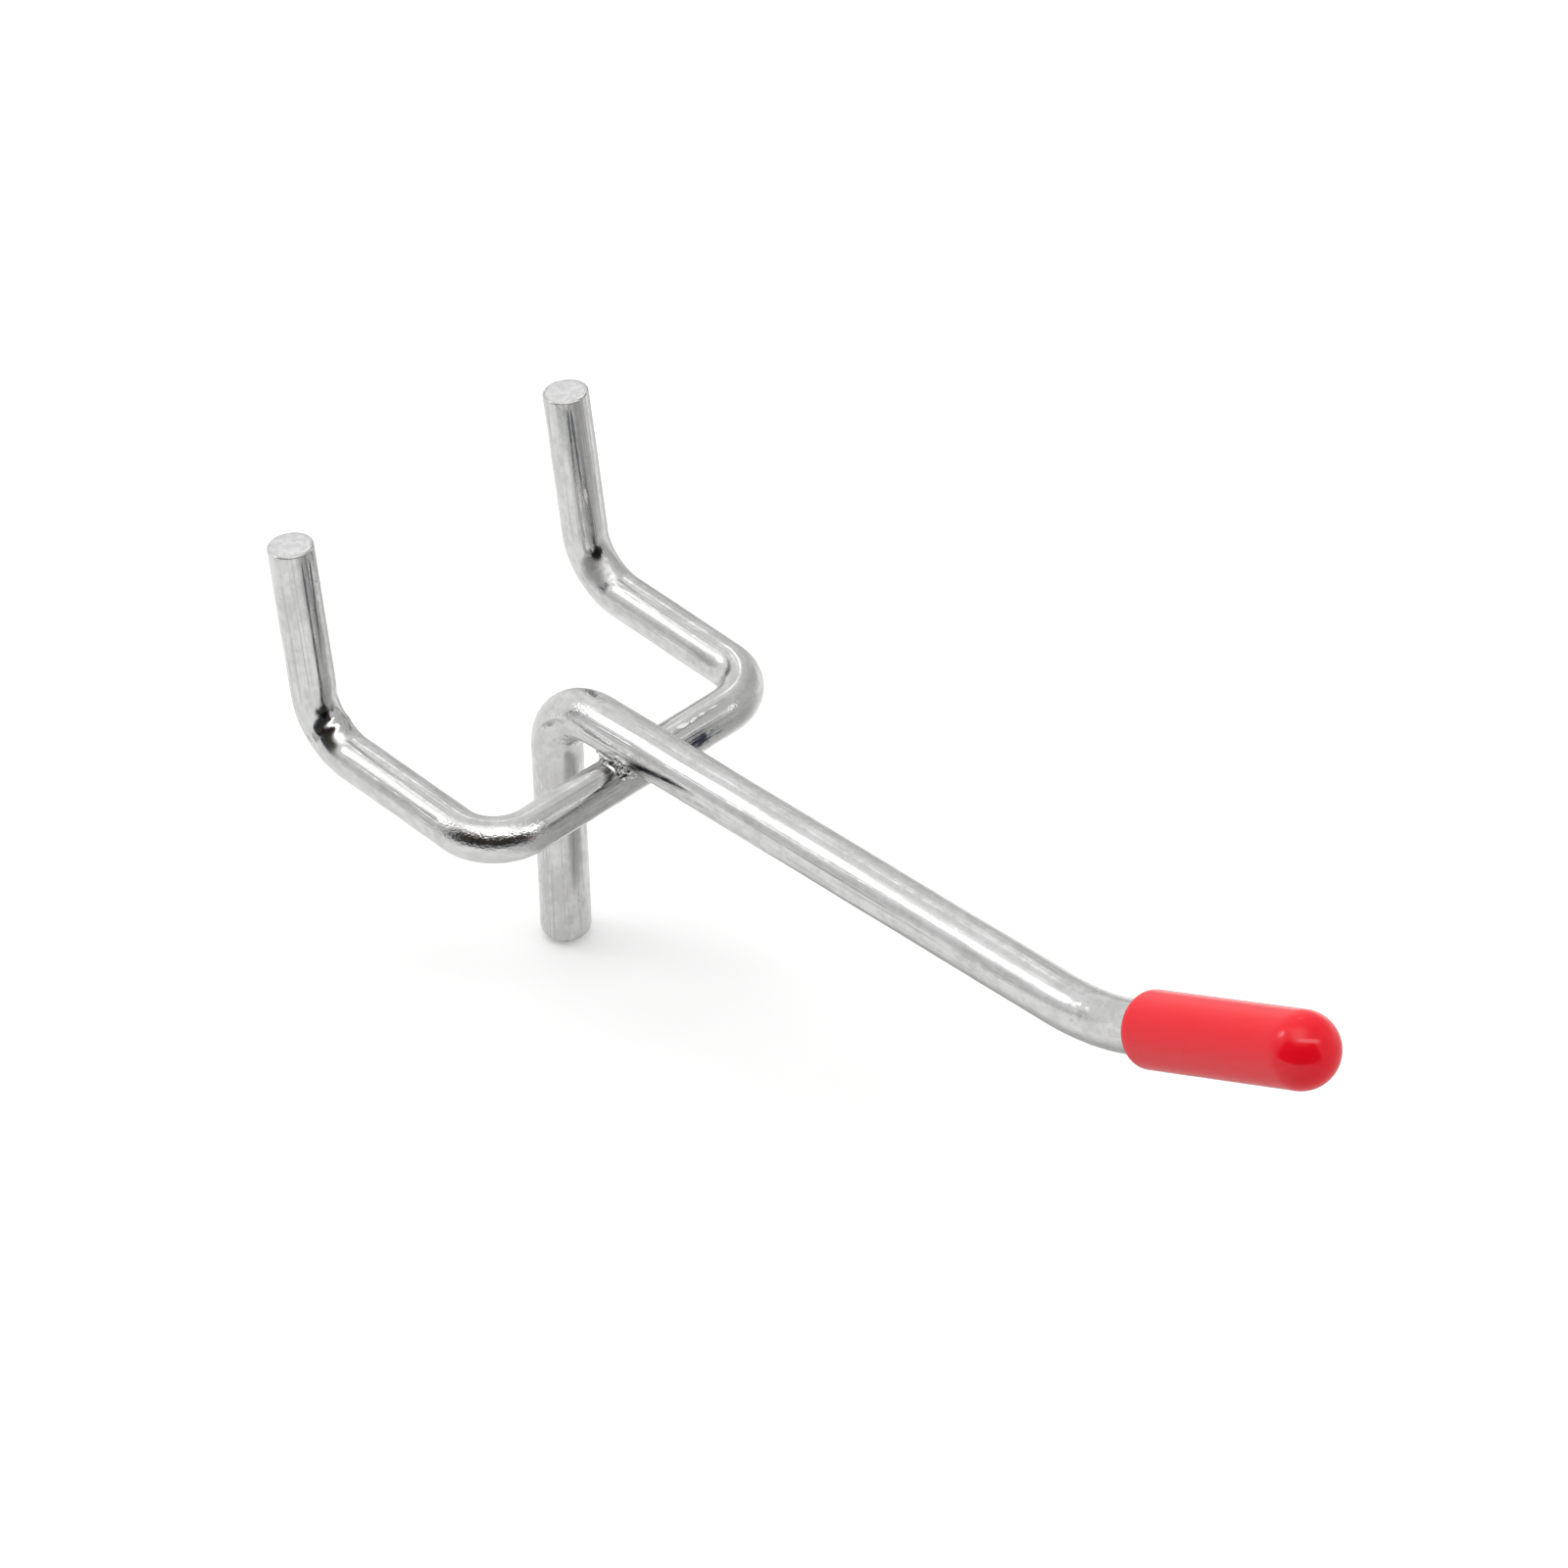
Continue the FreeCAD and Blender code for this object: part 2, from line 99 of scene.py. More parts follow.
# How deep the marks of drawing and bending go at most.
BACK_WIRE_MARKS = {"waver": 0.03, "dent": 0.10, "knuckle": 0.06, "grip": 0.015, "nick": 0.015}
ARM_WIRE_MARKS = {"waver": 0.03, "dent": 0.0, "knuckle": 0.04, "grip": 0.04, "nick": 0.02}

# How finely the wires and the cap are divided.
RING_PITCH = 0.16
WIRE_SIDES = 96
EDGE_RINGS = 8
FACE_RINGS = 9
CAP_SIDES = 144
CAP_BORE_RINGS = 40
CAP_RIM_RINGS = 12
CAP_SIDE_RINGS = 110
CAP_DOME_RINGS = 40
# where the cap's bore starts to open towards the rim, and how wide and how high its lip is
BORE_MOUTH = 0.18
BORE_LIP = 0.05

# Patterns in the skin: how far they are drawn out along the wire (1 is not at all), how fine they are, how
# many finer layers they have and how strong those are, and the seed.
FACETS = (0.09, 950.0, 2.0, 0.5, 1.0)
SWELLING = (0.5, 620.0, 2.0, 0.45, 4.0)
WRINKLES = (0.6, 1300.0, 2.0, 0.6, 2.0)
GRIP_TEETH = (0.7, 2600.0, 3.0, 0.65, 11.0)
FINE_LINES = (0.02, 8500.0, 2.0, 0.6, 3.0)
COARSE_LINES = (0.02, 2600.0, 2.0, 0.5, 4.0)
BROAD_LINES = (0.012, 900.0, 1.0, 0.5, 12.0)
HAZE = (0.55, 560.0, 4.0, 0.65, 5.0)
MOTTLE = (0.7, 1900.0, 3.0, 0.6, 9.0)
GRIT = (1.0, 7000.0, 2.0, 0.5, 6.0)
SCALLOPS = (1.0, 1100.0, 2.0, 0.6, 7.0)
FLASH_LINES = (1.0, 4800.0, 2.0, 0.55, 8.0)
VINYL_CLOUD = (1.0, 260.0, 2.0, 0.5, 1.0)
VINYL_SKIN = (1.0, 900.0, 2.0, 0.5, 2.0)
SEED_STEP = (0.37, 0.71, 0.13)
# the cells that the nicks lie in: how far they are drawn out along the wire, and how fine they are
NICK_CELLS_ALONG = 0.55
NICK_CELLS_SCALE = 520.0

# The plating's colours, from the clear skin to what bending and welding left on it, with painted dark
# reflections, painted shade and painted highlights laid over it, and the vinyl's.
ZINC_DULL, ZINC_CLEAR = (0.54, 0.54, 0.53, 1), (0.66, 0.66, 0.66, 1)
CUT_DULL, CUT_CLEAR = (0.66, 0.66, 0.66, 1), (0.76, 0.76, 0.76, 1)
DIE_LINE_GREY = (0.36, 0.36, 0.35, 1)
SCUFF_GREY = (0.20, 0.20, 0.19, 1)
# near black for the dark reflection painted in the prongs' bends
PAINTED_REFLECTION_BLACK = (0.025, 0.025, 0.024, 1)
# dark blue for scratches, and for the painted shade and painted dark reflection near the weld
SCRATCH_AND_PAINTED_SHADE_BLUE = (0.05, 0.06, 0.085, 1)
# near white for scratches and spatter painted as painted highlights
SCRATCH_AND_HIGHLIGHT_WHITE = (0.92, 0.92, 0.90, 1)
VINYL_DEEP, VINYL_PALE = (0.93, 0.004, 0.016, 1), (0.94, 0.005, 0.020, 1)
WHITE = (1.0, 1.0, 1.0, 1)

# a painted dark reflection of the arm on the crossbar beside the weld: where it lies, how it is squeezed,
# and where it fades
PAINTED_REFLECTION_SPOT = (5.3, -10.755, 0.47)
PAINTED_REFLECTION_SQUEEZE = (0.42, 1.25, 1.25)
PAINTED_REFLECTION_FADE = (0.25, 0.80)
# near-black spots painted on the inside of each prong's bend as painted dark reflection: where they lie, and
# how far they reach
DARK_REFLECTION_SPOTS = [(-13.20, 7.18, 3.15), (11.95, 6.95, 3.0)]
DARK_REFLECTION_REACH = 0.56
# where the pin crushed the plating dull on the right prong's bend, and how far that reaches
CRUSHED = (11.45, 6.4, 1.95)
CRUSHED_REACH = 1.45
# how far the ragged edge of these marks wanders, by each of two patterns
RAGGED = 0.2

# Thin marks near the weld and on the right prong: from one point to another, the half width at the widest,
# how the mottle breaks the mark up, and how strong it is. The dark seam mark is painted shade along the
# arm's flank beside the crossing, and the other dark one is a scratch. The bright ones are a scratch,
# spatter and a sliver, painted near white as painted highlights.
SHADE_AND_SCRATCH_MARKS = {
    "seam_painted_shade": ((-1.83, -11.2, 3.0), (-1.66, -18.6, 4.35), 0.19, (0.3, 0.7, 0.7, 1.2), 0.85),
    "arm_scar": ((-1.77, -6.4, 3.14), (-1.78, -11.6, 3.46), 0.06, (0.35, 0.6, 0.4, 1.2), 0.7),
}
SCRATCH_AND_HIGHLIGHT_MARKS = {
    "seam_shine": ((-1.73, -7.2, 3.45), (-1.76, -14.6, 3.74), 0.10, (0.45, 0.60, 0.3, 1.2), 1.0),
    "spatter_highlight": ((3.2, -9.70, 1.54), (9.6, -9.70, 1.54), 0.14, (0.42, 0.56, 0.0, 1.3), 1.0),
    "prong_sliver_highlight": ((11.78, 7.93, 8.5), (11.97, 7.58, 6.2), 0.13, (0.35, 0.6, 0.6, 1.2), 1.0),
}
# Scratches along the prongs: the side, then the angle round the prong and the height where each starts and
# finishes, and its half width.
PRONG_SCRATCHES = [
    (-1, -14, 15.8, -17, 3.4, 0.10),
    (-1, 11, 15.8, -5, 4.4, 0.10),
    (1, -38, 15.3, -46, 6.0, 0.08),
    (1, -31, 15.3, -29, 4.4, 0.10),
]
SCRATCH_BREAKS = (0.35, 0.6, 0.7, 1.2)
SCRATCH_STRENGTH = 0.75
# a thin mark is widest between these shares of its length, and fades from this share of its width outwards
WIDEST_FROM, WIDEST_TO = 0.15, 0.25
MARK_FADES_FROM = 0.6

# The flash that the weld pressed out, in millimetres: the pitch of the grid it is worked out on, the half
# sizes of the block it lies in with the margin round it, and the height of the block's middle.
FLASH_VOXEL = 0.045
FLASH_REACH = (2.3, 2.3, 0.86)
FLASH_MARGIN = 0.1
FLASH_MIDDLE = 1.277
# how far it spreads over the wires, how that edge is scalloped and how softly it ends, and where it stops
FLASH_SPREAD = 1.75
FLASH_SCALLOP = (-0.40, 0.45)
FLASH_SOFT_EDGE = 0.10
FLASH_LIMIT = 2.2
# how near to each other the two wires' skins run together, and how full that fillet is
FLASH_FILLET = 1.15
FLASH_FULLNESS = 0.25
# how thick its skin is, how far past its edge it dips under the wire, and how deep it goes into the wires
FLASH_THICKNESS = 0.09
FLASH_FADE = 0.08
FLASH_INSIDE = 0.22
# the streaks in it: the way they run, how far they are drawn out that way, and how deep they go
FLASH_STREAKS = (0, -1, -0.33)
FLASH_DRAWN_OUT = 0.9
FLASH_STREAK_DEPTH = (-0.09, 0.02)
# moves the flash's grain so far aside that none of it counts as a cut face
FLASH_GRAIN_ASIDE = 2.0

# The camera, in degrees and millimetres: where it looks from, its lens, what it aims at, and how far it
# then slides to its left and down.
CAMERA_AZIMUTH = -41.964
CAMERA_ELEVATION = 40.299
CAMERA_ROLL = -1.653
CAMERA_DISTANCE = 600.0
CAMERA_LENS = 205.395
CAMERA_TARGET = Vector((0, -26.2, 2.0))
CAMERA_SLIDE = (0.909, -5.387)

# The tent. Each part is the azimuth and elevation it lies at and the angles from there where it starts to
# fade and is gone, with how much light it takes or adds.
WALL = 0.97
SIDE_WALL = (68, 12, 30, 75)
SIDE_WALL_LOSS = 0.34
FAR_FOOT = (132, -17, 10, 28)
FAR_FOOT_LOSS = 0.36
DARKER_PARTS = {
    "opening": ((-50, 20, 18, 66), 0.62),
    "far_foot": (FAR_FOOT, FAR_FOOT_LOSS),
    "near_wall": ((-129, 8, 4, 20), 0.24),
}
BRIGHTER_PARTS = {
    "ceiling": ((-115, 83, 3, 27), 1.2),
    "back_lamp": ((-151, 37, 2, 15), 1.6),
    "back_lamp_core": ((-150, 40, 1, 7), 5.0),
    "back_lamp_top": ((-166, 57, 1, 8), 0.9),
    "far_lamp": ((154, 43, 1, 5), 0.6),
    "corner_lamp": ((136, 38, 1, 5), 1.4),
}
# the dark room past the opening: its middle, half width and half height, and how softly it ends
ROOM = (-52, 23, 60, 24, 8)
ROOM_LOSS = 0.90
# the room's tint below and above, and the elevations where it turns from one to the other
ROOM_LOW, ROOM_HIGH = (0.70, 0.80, 1.0, 1), (1.0, 0.86, 0.68, 1)
ROOM_TURNS = (12, 26)
# the strip of light over the mouth of the tent is a piece of a ring: its middle, radius and half width
STRIP_ROUND = (131, 43)
STRIP_RADIUS = 69
STRIP_HALF_WIDTH = 6
STRIP_PIECE = (-5, 60, 12, 40)
STRIP_GAIN = 4.0

# The table: its half width in metres, how white it is, how bright to the camera and to the metal, and how
# much less in its dark quarter.
FLOOR_HALF = 3.0
FLOOR_WHITE = 0.86
FLOOR_GLOW = 0.27
FLOOR_GLOW_IN_METAL = 0.18
DARK_QUARTER = (24, 0, 12, 68)
DARK_QUARTER_LOSS = 0.46


def rad(degrees):
    return math.radians(degrees)


def smooth(low, high, value):
    """0 below low, 1 above high, and an even S between them."""
    share = min(1.0, max(0.0, (value - low) / (high - low)))
    return share * share * (3 - 2 * share)


back_radius = BACK_WIRE_DIA / 2
arm_radius = ARM_WIRE_DIA / 2
cap_radius = arm_radius + CAP_WALL


def prong_end(side, height):
    """The middle of a prong's cut end, for the side it is on and how far up it reaches."""
    return Vector((side * HOLE_SPACING / 2, BEHIND_BOARD + height * math.sin(rad(PRONG_LEAN)),
                   height * math.cos(rad(PRONG_LEAN))))


def prong_skin(side, around, height):
    """A point on a prong's skin, for the side it is on, the angle from its front and how far up."""
    axis = prong_end(side, height)
    front = Vector((0, -math.cos(rad(PRONG_LEAN)), math.sin(rad(PRONG_LEAN))))
    return axis + (front * math.cos(rad(around)) + Vector((1, 0, 0)) * math.sin(rad(around))) * back_radius


# The corners of the two bent wires, where their straight runs would meet, in millimetres.
crossing_height = (back_radius + arm_radius - WELD_SET_DOWN) / math.cos(rad(ARM_RISE))
top_corner_height = crossing_height - (STANDOFF - arm_radius) * math.tan(rad(ARM_RISE))
tip_corner = Vector((0, -STANDOFF - ARM_REACH * math.cos(rad(ARM_RISE)),
                     crossing_height + ARM_REACH * math.sin(rad(ARM_RISE))))
tip_heading = Vector((0, -math.cos(rad(ARM_RISE + TIP_RISE)), math.sin(rad(ARM_RISE + TIP_RISE))))
arm_heading = Vector((0, -math.cos(rad(ARM_RISE)), math.sin(rad(ARM_RISE))))
cap_rim = tip_corner + tip_heading * TIP_BARE
tip_end = cap_rim + tip_heading * (CAP_LENGTH - cap_radius)

BACK_CORNERS = [
    prong_end(-1, PRONG_HEIGHT),
    Vector((-HOLE_SPACING / 2, BEHIND_BOARD, 0)),
    Vector((-HOLE_SPACING / 2, -STANDOFF, 0)),
    Vector((HOLE_SPACING / 2, -STANDOFF, 0)),
    Vector((HOLE_SPACING / 2, BEHIND_BOARD, 0)),
    prong_end(1, PRONG_HEIGHT - RIGHT_PRONG_SHORT),
]
BACK_BENDS = [PRONG_BEND_RADIUS, CROSSBAR_BEND_RADIUS, CROSSBAR_BEND_RADIUS, PRONG_BEND_RADIUS]
ARM_CORNERS = [
    Vector((0, -arm_radius, top_corner_height - LEG_DROP)),
    Vector((0, -arm_radius, top_corner_height)),
    tip_corner,
    tip_end,
]
ARM_BENDS = [TOP_BEND_RADIUS, TIP_BEND_RADIUS]


def straight_run(start, end):
    return (end - start).length, lambda share: start.lerp(end, share), None


def round_bend(start, heading, leaving, turn, radius):
    inward = (leaving - heading * heading.dot(leaving)).normalized()
    centre = start + inward * radius

    def outwards(share):
        return heading * math.sin(turn * share) - inward * math.cos(turn * share)

    return radius * turn, lambda share: centre + outwards(share) * radius, outwards


def bent_route(corners, bends):
    """The wire's centre line as straight runs and arcs: each a length, the place at a share of it, and,
    of an arc, the direction outwards there."""
    stretches = []
    here = corners[0]
    for before, corner, after, radius in zip(corners, corners[1:], corners[2:], bends):
        heading = (corner - before).normalized()
        leaving = (after - corner).normalized()
        turn = heading.angle(leaving)
        setback = radius * math.tan(turn / 2)
        bend_start = corner - heading * setback
        stretches.append(straight_run(here, bend_start))
        stretches.append(round_bend(bend_start, heading, leaving, turn, radius))
        here = corner + leaving * setback
    stretches.append(straight_run(here, corners[-1]))
    return stretches


def place_along(stretches, distance):
    """The point at a distance along the route."""
    for length, at, _ in stretches[:-1]:
        if distance <= length:
            return at(distance / length)
        distance -= length
    length, at, _ = stretches[-1]
    return at(distance / length)


def worked_zone(stretches, pinches, distance):
    """At a distance along: the pull towards the centre of the nearest bend, whether the wire is bent
    there, how hard it was worked and the height of the crest."""
    pull, bent, worked, crest = Vector((0, 0, 0)), 0.0, 0.0, 0.0
    passed, number = 0.0, 0
    for length, _, outwards in stretches:
        if outwards:
            crest_share, before, after, width = pinches[number]
            number += 1
            share = (distance - passed) / length
            fade = smooth(WORK_STARTS, WORK_FULL, share) * smooth(WORK_STARTS, WORK_FULL, 1 - share)
            pull -= outwards(min(1.0, max(0.0, share))) * fade
            bent += fade
            worked += fade * (before if share < crest_share else after)
            crest += max(before, after) * math.exp(-((share - crest_share) * length / width) ** 2)
        passed += length
    return pull, bent, worked, crest


def end_rings(radius, edge, bulge):
    """(distance from the end, girth) of the rings of one finished end, from its middle outwards."""
    flat = radius - edge
    rings = []
    for ring in range(1, FACE_RINGS + 1):
        share = ring / FACE_RINGS
        rings.append((bulge * share ** 1.5, flat * share))
    for ring in range(1, EDGE_RINGS + 1):
        angle = rad(90) * ring / EDGE_RINGS
        rings.append((bulge + edge * (1 - math.cos(angle)), flat + edge * math.sin(angle)))
    return rings


def wire_line(name, corners, bends, pinches, radius, start_end, finish_end):
    """The centre line as a row of vertices: each knows its distance along, its girth, the pull of the
    nearest bend, and how it is bent, worked and pinched there."""
    stretches = bent_route(corners, bends)
    length = sum(stretch[0] for stretch in stretches)
    first = end_rings(radius, *start_end)
    last = end_rings(radius, *finish_end)
    middle_start = first[-1][0]
    middle_length = length - last[-1][0] - middle_start
    count = round(middle_length / RING_PITCH)
    middle = [(middle_start + middle_length * step / count, radius) for step in range(1, count)]
    rings = first + middle + [(length - distance, girth) for distance, girth in reversed(last)]
    zones = [worked_zone(stretches, pinches, distance) for distance, _ in rings]
    pulls, bents, works, crests = zip(*zones)
    mesh = bpy.data.meshes.new(name)
    places = [place_along(stretches, distance) * MM for distance, _ in rings]
    mesh.from_pydata(places, [(step, step + 1) for step in range(len(places) - 1)], [])
    for label, kind, field, values in (
        ("along", "FLOAT", "value", [distance * MM for distance, _ in rings]),
        ("girth", "FLOAT", "value", [girth * MM for _, girth in rings]),
        ("pull", "FLOAT_VECTOR", "vector", pulls),
        ("bent", "FLOAT", "value", bents),
        ("worked", "FLOAT", "value", works),
        ("crest", "FLOAT", "value", crests),
    ):
        attribute = mesh.attributes.new(label, kind, "POINT")
        attribute.data.foreach_set(field, np.array(values, np.float32).ravel())
    return placed(mesh)


def placed(mesh):
    """An object of the mesh's own name, in the scene."""
    made = bpy.data.objects.new(mesh.name, mesh)
    bpy.context.scene.collection.objects.link(made)
    return made


class Wiring:
    """A short way of writing a node tree. node() adds a node and gives it back, and every other call adds
    what it needs and gives back the output."""

    def __init__(self, tree):
        tree.nodes.clear()
        self.tree = tree

    def node(self, kind, inputs=None, **settings):
        node = self.tree.nodes.new(kind)
        for name, value in settings.items():
            setattr(node, name, value)
        for key, value in (inputs or {}).items():
            if isinstance(value, bpy.types.NodeSocket):
                self.tree.links.new(value, node.inputs[key])
            else:
                node.inputs[key].default_value = value
        return node

    def first(self, kind, inputs=None, **settings):
        """The first output of a new node."""
        return self.node(kind, inputs, **settings).outputs[0]

    def maths(self, operation, *values, clamp=False):
        return self.first("ShaderNodeMath", dict(enumerate(values)), operation=operation, use_clamp=clamp)

    def total(self, *values):
        return reduce(partial(self.maths, "ADD"), values)

    def product(self, *values):
        return reduce(partial(self.maths, "MULTIPLY"), values)

    def greatest(self, *values):
        return reduce(partial(self.maths, "MAXIMUM"), values)

    def less(self, value, taken):
        return self.maths("SUBTRACT", value, taken)

    def apart(self, value, other):
        """How far two values are from each other."""
        return self.maths("ABSOLUTE", self.less(value, other))

    def dimmed(self, light, mask, loss):
        """The light with its share taken away where the mask is 1."""
        return self.product(light, self.less(1.0, self.product(mask, loss)))

    def vectors(self, operation, *values):
        result = self.node("ShaderNodeVectorMath", dict(enumerate(values)), operation=operation)
        return result.outputs["Value" if operation in ("DOT_PRODUCT", "LENGTH") else "Vector"]

    def scaled(self, vector, factor):
        return self.first("ShaderNodeVectorMath", {0: vector, "Scale": factor}, operation="SCALE")

    def stretch(self, vector, scale):
        """The vector with each of its three parts multiplied."""
        return self.vectors("MULTIPLY", vector, scale)

    def parts(self, vector):
        return self.node("ShaderNodeSeparateXYZ", {0: vector}).outputs

    def pattern(self, grain, along, scale, detail, roughness, seed):
        """A cloudy pattern, drawn out along the grain's third direction."""
        drawn_out = self.stretch(grain, (1.0, 1.0, along))
        moved = self.vectors("ADD", drawn_out, tuple(seed * step for step in SEED_STEP))
        return self.first("ShaderNodeTexNoise", {"Vector": moved, "Scale": scale, "Detail": detail,
                                                 "Roughness": roughness})

    def blend(self, factor, first, second):
        """A colour between two, by a factor."""
        return self.node("ShaderNodeMix", {0: factor, 6: first, 7: second}, data_type="RGBA").outputs[2]

    def ramp(self, value, low, high, out_low=0.0, out_high=1.0):
        """Carry a value from one range to another, with a smooth start and end."""
        return self.first("ShaderNodeMapRange", {"Value": value, "From Min": low, "From Max": high,
                                                 "To Min": out_low, "To Max": out_high},
                          interpolation_type="SMOOTHSTEP")

    def read(self, name, kind="FLOAT"):
        """An attribute of the geometry that passes through."""
        return self.first("GeometryNodeInputNamedAttribute", {"Name": name}, data_type=kind)

    def store(self, geometry, name, value, kind="FLOAT_VECTOR"):
        """The geometry with a value kept on each point under a name."""
        return self.first("GeometryNodeStoreNamedAttribute", {"Geometry": geometry, "Name": name,
                                                              "Value": value},
                          data_type=kind, domain="POINT")


def new_tree(name, sockets):
    """An empty geometry tree with its named inputs, and the wiring to fill it."""
    tree = bpy.data.node_groups.new(name, "GeometryNodeTree")
    wiring = Wiring(tree)
    tree.interface.new_socket("Geometry", in_out="INPUT", socket_type="NodeSocketGeometry")
    for label, kind in sockets.items():
        tree.interface.new_socket(label, in_out="INPUT", socket_type="NodeSocket" + kind)
    tree.interface.new_socket("Geometry", in_out="OUTPUT", socket_type="NodeSocketGeometry")
    return tree, wiring, wiring.node("NodeGroupInput").outputs


def close_tree(w, geometry, finish):
    """Shade what was made smooth, realize it, give it its finish and hand it out."""
    smoothed = w.first("GeometryNodeSetShadeSmooth", {"Geometry": geometry})
    real = w.first("GeometryNodeRealizeInstances", {"Geometry": smoothed})
    coated = w.first("GeometryNodeSetMaterial", {"Geometry": real, "Material": finish})
    w.node("NodeGroupOutput", {"Geometry": coated})


def drawn_wire_tree():
    """Draw a round wire along its line: round ends, a slight waver, knuckles where it was bent,
    nicks from the tools, and the seat that another wire is pressed into."""
    tree, w, given = new_tree("drawn_wire", {
        "Sides": "Int", "Waver": "Float", "Dent": "Float", "Knuckle": "Float", "Grip": "Float",
        "Nick": "Float", "Seat Centre": "Vector", "Seat Radius": "Float", "Finish": "Material",
    })
    rod = swept_rod(w, given["Geometry"], given["Sides"])
    rod = worked_skin(w, rod, given)
    rod = pressed_seat(w, rod, given["Seat Centre"], given["Seat Radius"])
    close_tree(w, rod, given["Finish"])
    return tree


def swept_rod(w, line, sides):
    """A rod along the line, which knows the wire's own coordinates as they were before it was bent: x and
    y across it, z along it."""
    curve = w.first("GeometryNodeMeshToCurve", {"Mesh": line})
    ring = w.first("GeometryNodeCurvePrimitiveCircle", {"Resolution": sides, "Radius": 1.0})
    ring = w.store(ring, "round", w.first("GeometryNodeInputPosition"))
    rod = w.first("GeometryNodeCurveToMesh", {"Curve": curve, "Profile Curve": ring, "Fill Caps": True,
                                              "Scale": w.read("girth")})
    across = w.scaled(w.read("round", "FLOAT_VECTOR"), w.read("girth"))
    along = w.first("ShaderNodeCombineXYZ", {"Z": w.read("along")})
    return w.store(rod, "grain", w.vectors("ADD", across, along))


def worked_skin(w, rod, given):
    """Move each point of the skin in or out: out only at a knuckle, on the inside of a bend."""
    grain = w.read("grain", "FLOAT_VECTOR")
    crest = w.read("crest")
    normal = w.first("GeometryNodeInputNormal")
    inside = w.vectors("DOT_PRODUCT", normal, w.read("pull", "FLOAT_VECTOR"))
    stretched = w.ramp(inside, -0.6, -0.1, 1.0, 0.0)

    # drawing leaves long facets and swells, and bending evens them out
    waver = w.total(w.product(w.pattern(grain, *FACETS), 0.65), w.product(w.pattern(grain, *SWELLING), 0.35))
    even = w.greatest(stretched, w.product(w.read("bent"), 0.7))
    waver = w.product(w.ramp(waver, 0.3, 0.7, -1.0, 0.0), given["Waver"], w.ramp(even, 0.0, 1.0, 1.0, 0.25))

    # the pinched inside of a bend: dents beside the crest, the wrinkled knuckle on it, the grip's marks
    beside = w.product(w.less(1.0, crest), w.read("worked"))
    dent = w.product(w.ramp(inside, 0.0, 0.75, 0.0, -1.0), beside, given["Dent"])
    wrinkle = w.ramp(w.pattern(grain, *WRINKLES), 0.3, 0.7, 0.45, 1.0)
    knuckle = w.product(wrinkle, crest, w.ramp(inside, 0.2, 0.8), given["Knuckle"])
    teeth = w.ramp(w.pattern(grain, *GRIP_TEETH), 0.42, 0.62, -1.0, 0.0)
    teeth = w.product(teeth, crest, given["Grip"])

    # a few nicks: of the cells of a cell pattern, only some have one
    drawn_out = w.stretch(grain, (1.0, 1.0, NICK_CELLS_ALONG))
    cells = w.node("ShaderNodeTexVoronoi", {"Vector": drawn_out, "Scale": NICK_CELLS_SCALE})
    chance = w.ramp(w.parts(cells.outputs["Color"])[0], 0.80, 0.86)
    nick = w.product(w.ramp(cells.outputs["Distance"], 0.0, 0.22, -1.0, 0.0), chance, given["Nick"])

    depth = w.total(waver, dent, teeth, knuckle, nick)
    rod = w.store(rod, "stretched", stretched, "FLOAT")
    return w.first("GeometryNodeSetPosition", {"Geometry": rod, "Offset": w.scaled(normal, depth)})


def pressed_seat(w, rod, centre, radius):
    """The seat: what lies inside the other wire, which runs along x, is pushed out to its surface."""
    place = w.first("GeometryNodeInputPosition")
    from_axis = w.stretch(w.vectors("SUBTRACT", place, centre), (0.0, 1.0, 1.0))
    short = w.greatest(w.less(radius, w.vectors("LENGTH", from_axis)), 0.0)
    push = w.scaled(w.vectors("NORMALIZE", from_axis), short)
    return w.first("GeometryNodeSetPosition", {"Geometry": rod, "Offset": push})


def set_inputs(modifier, **values):
    """Set a modifier's inputs by what they are called on its tree."""
    for item in modifier.node_group.interface.items_tree:
        key = item.name.replace(" ", "_").lower()
        if item.in_out == "INPUT" and key in values:
            modifier[item.identifier] = values.pop(key)
    if values:
        raise RuntimeError(f"no input is called {sorted(values)}")


def made_piece(source, tree, name, **inputs):
    """Put an object through a tree, keep what comes out as a plain piece, and drop the object."""
    modifier = source.modifiers.new("making", "NODES")
    modifier.node_group = tree
    set_inputs(modifier, **inputs)
    graph = bpy.context.evaluated_depsgraph_get()
    mesh = bpy.data.meshes.new_from_object(source.evaluated_get(graph), depsgraph=graph)
    source.modifiers.clear()
    bpy.data.objects.remove(source)
    mesh.name = name
    turn_outwards(mesh)
    return placed(mesh)


def turn_outwards(mesh):
    """Merge doubles and make every face look outwards."""
    work = bmesh.new()
    work.from_mesh(mesh)
    bmesh.ops.remove_doubles(work, verts=work.verts, dist=MM * 1e-5)
    bmesh.ops.recalc_face_normals(work, faces=work.faces)
    if work.calc_volume(signed=True) < 0:
        bmesh.ops.reverse_faces(work, faces=work.faces)
    work.to_mesh(mesh)
    work.free()


def draw_wire(tree, name, line, marks, seat_centre, seat_radius, finish):
    """The finished wire along its line, with its marks and the seat of the other wire."""
    depths = {mark: depth * MM for mark, depth in marks.items()}
    return made_piece(line, tree, name, sides=WIRE_SIDES, seat_centre=seat_centre,
                      seat_radius=seat_radius, finish=finish, **depths)


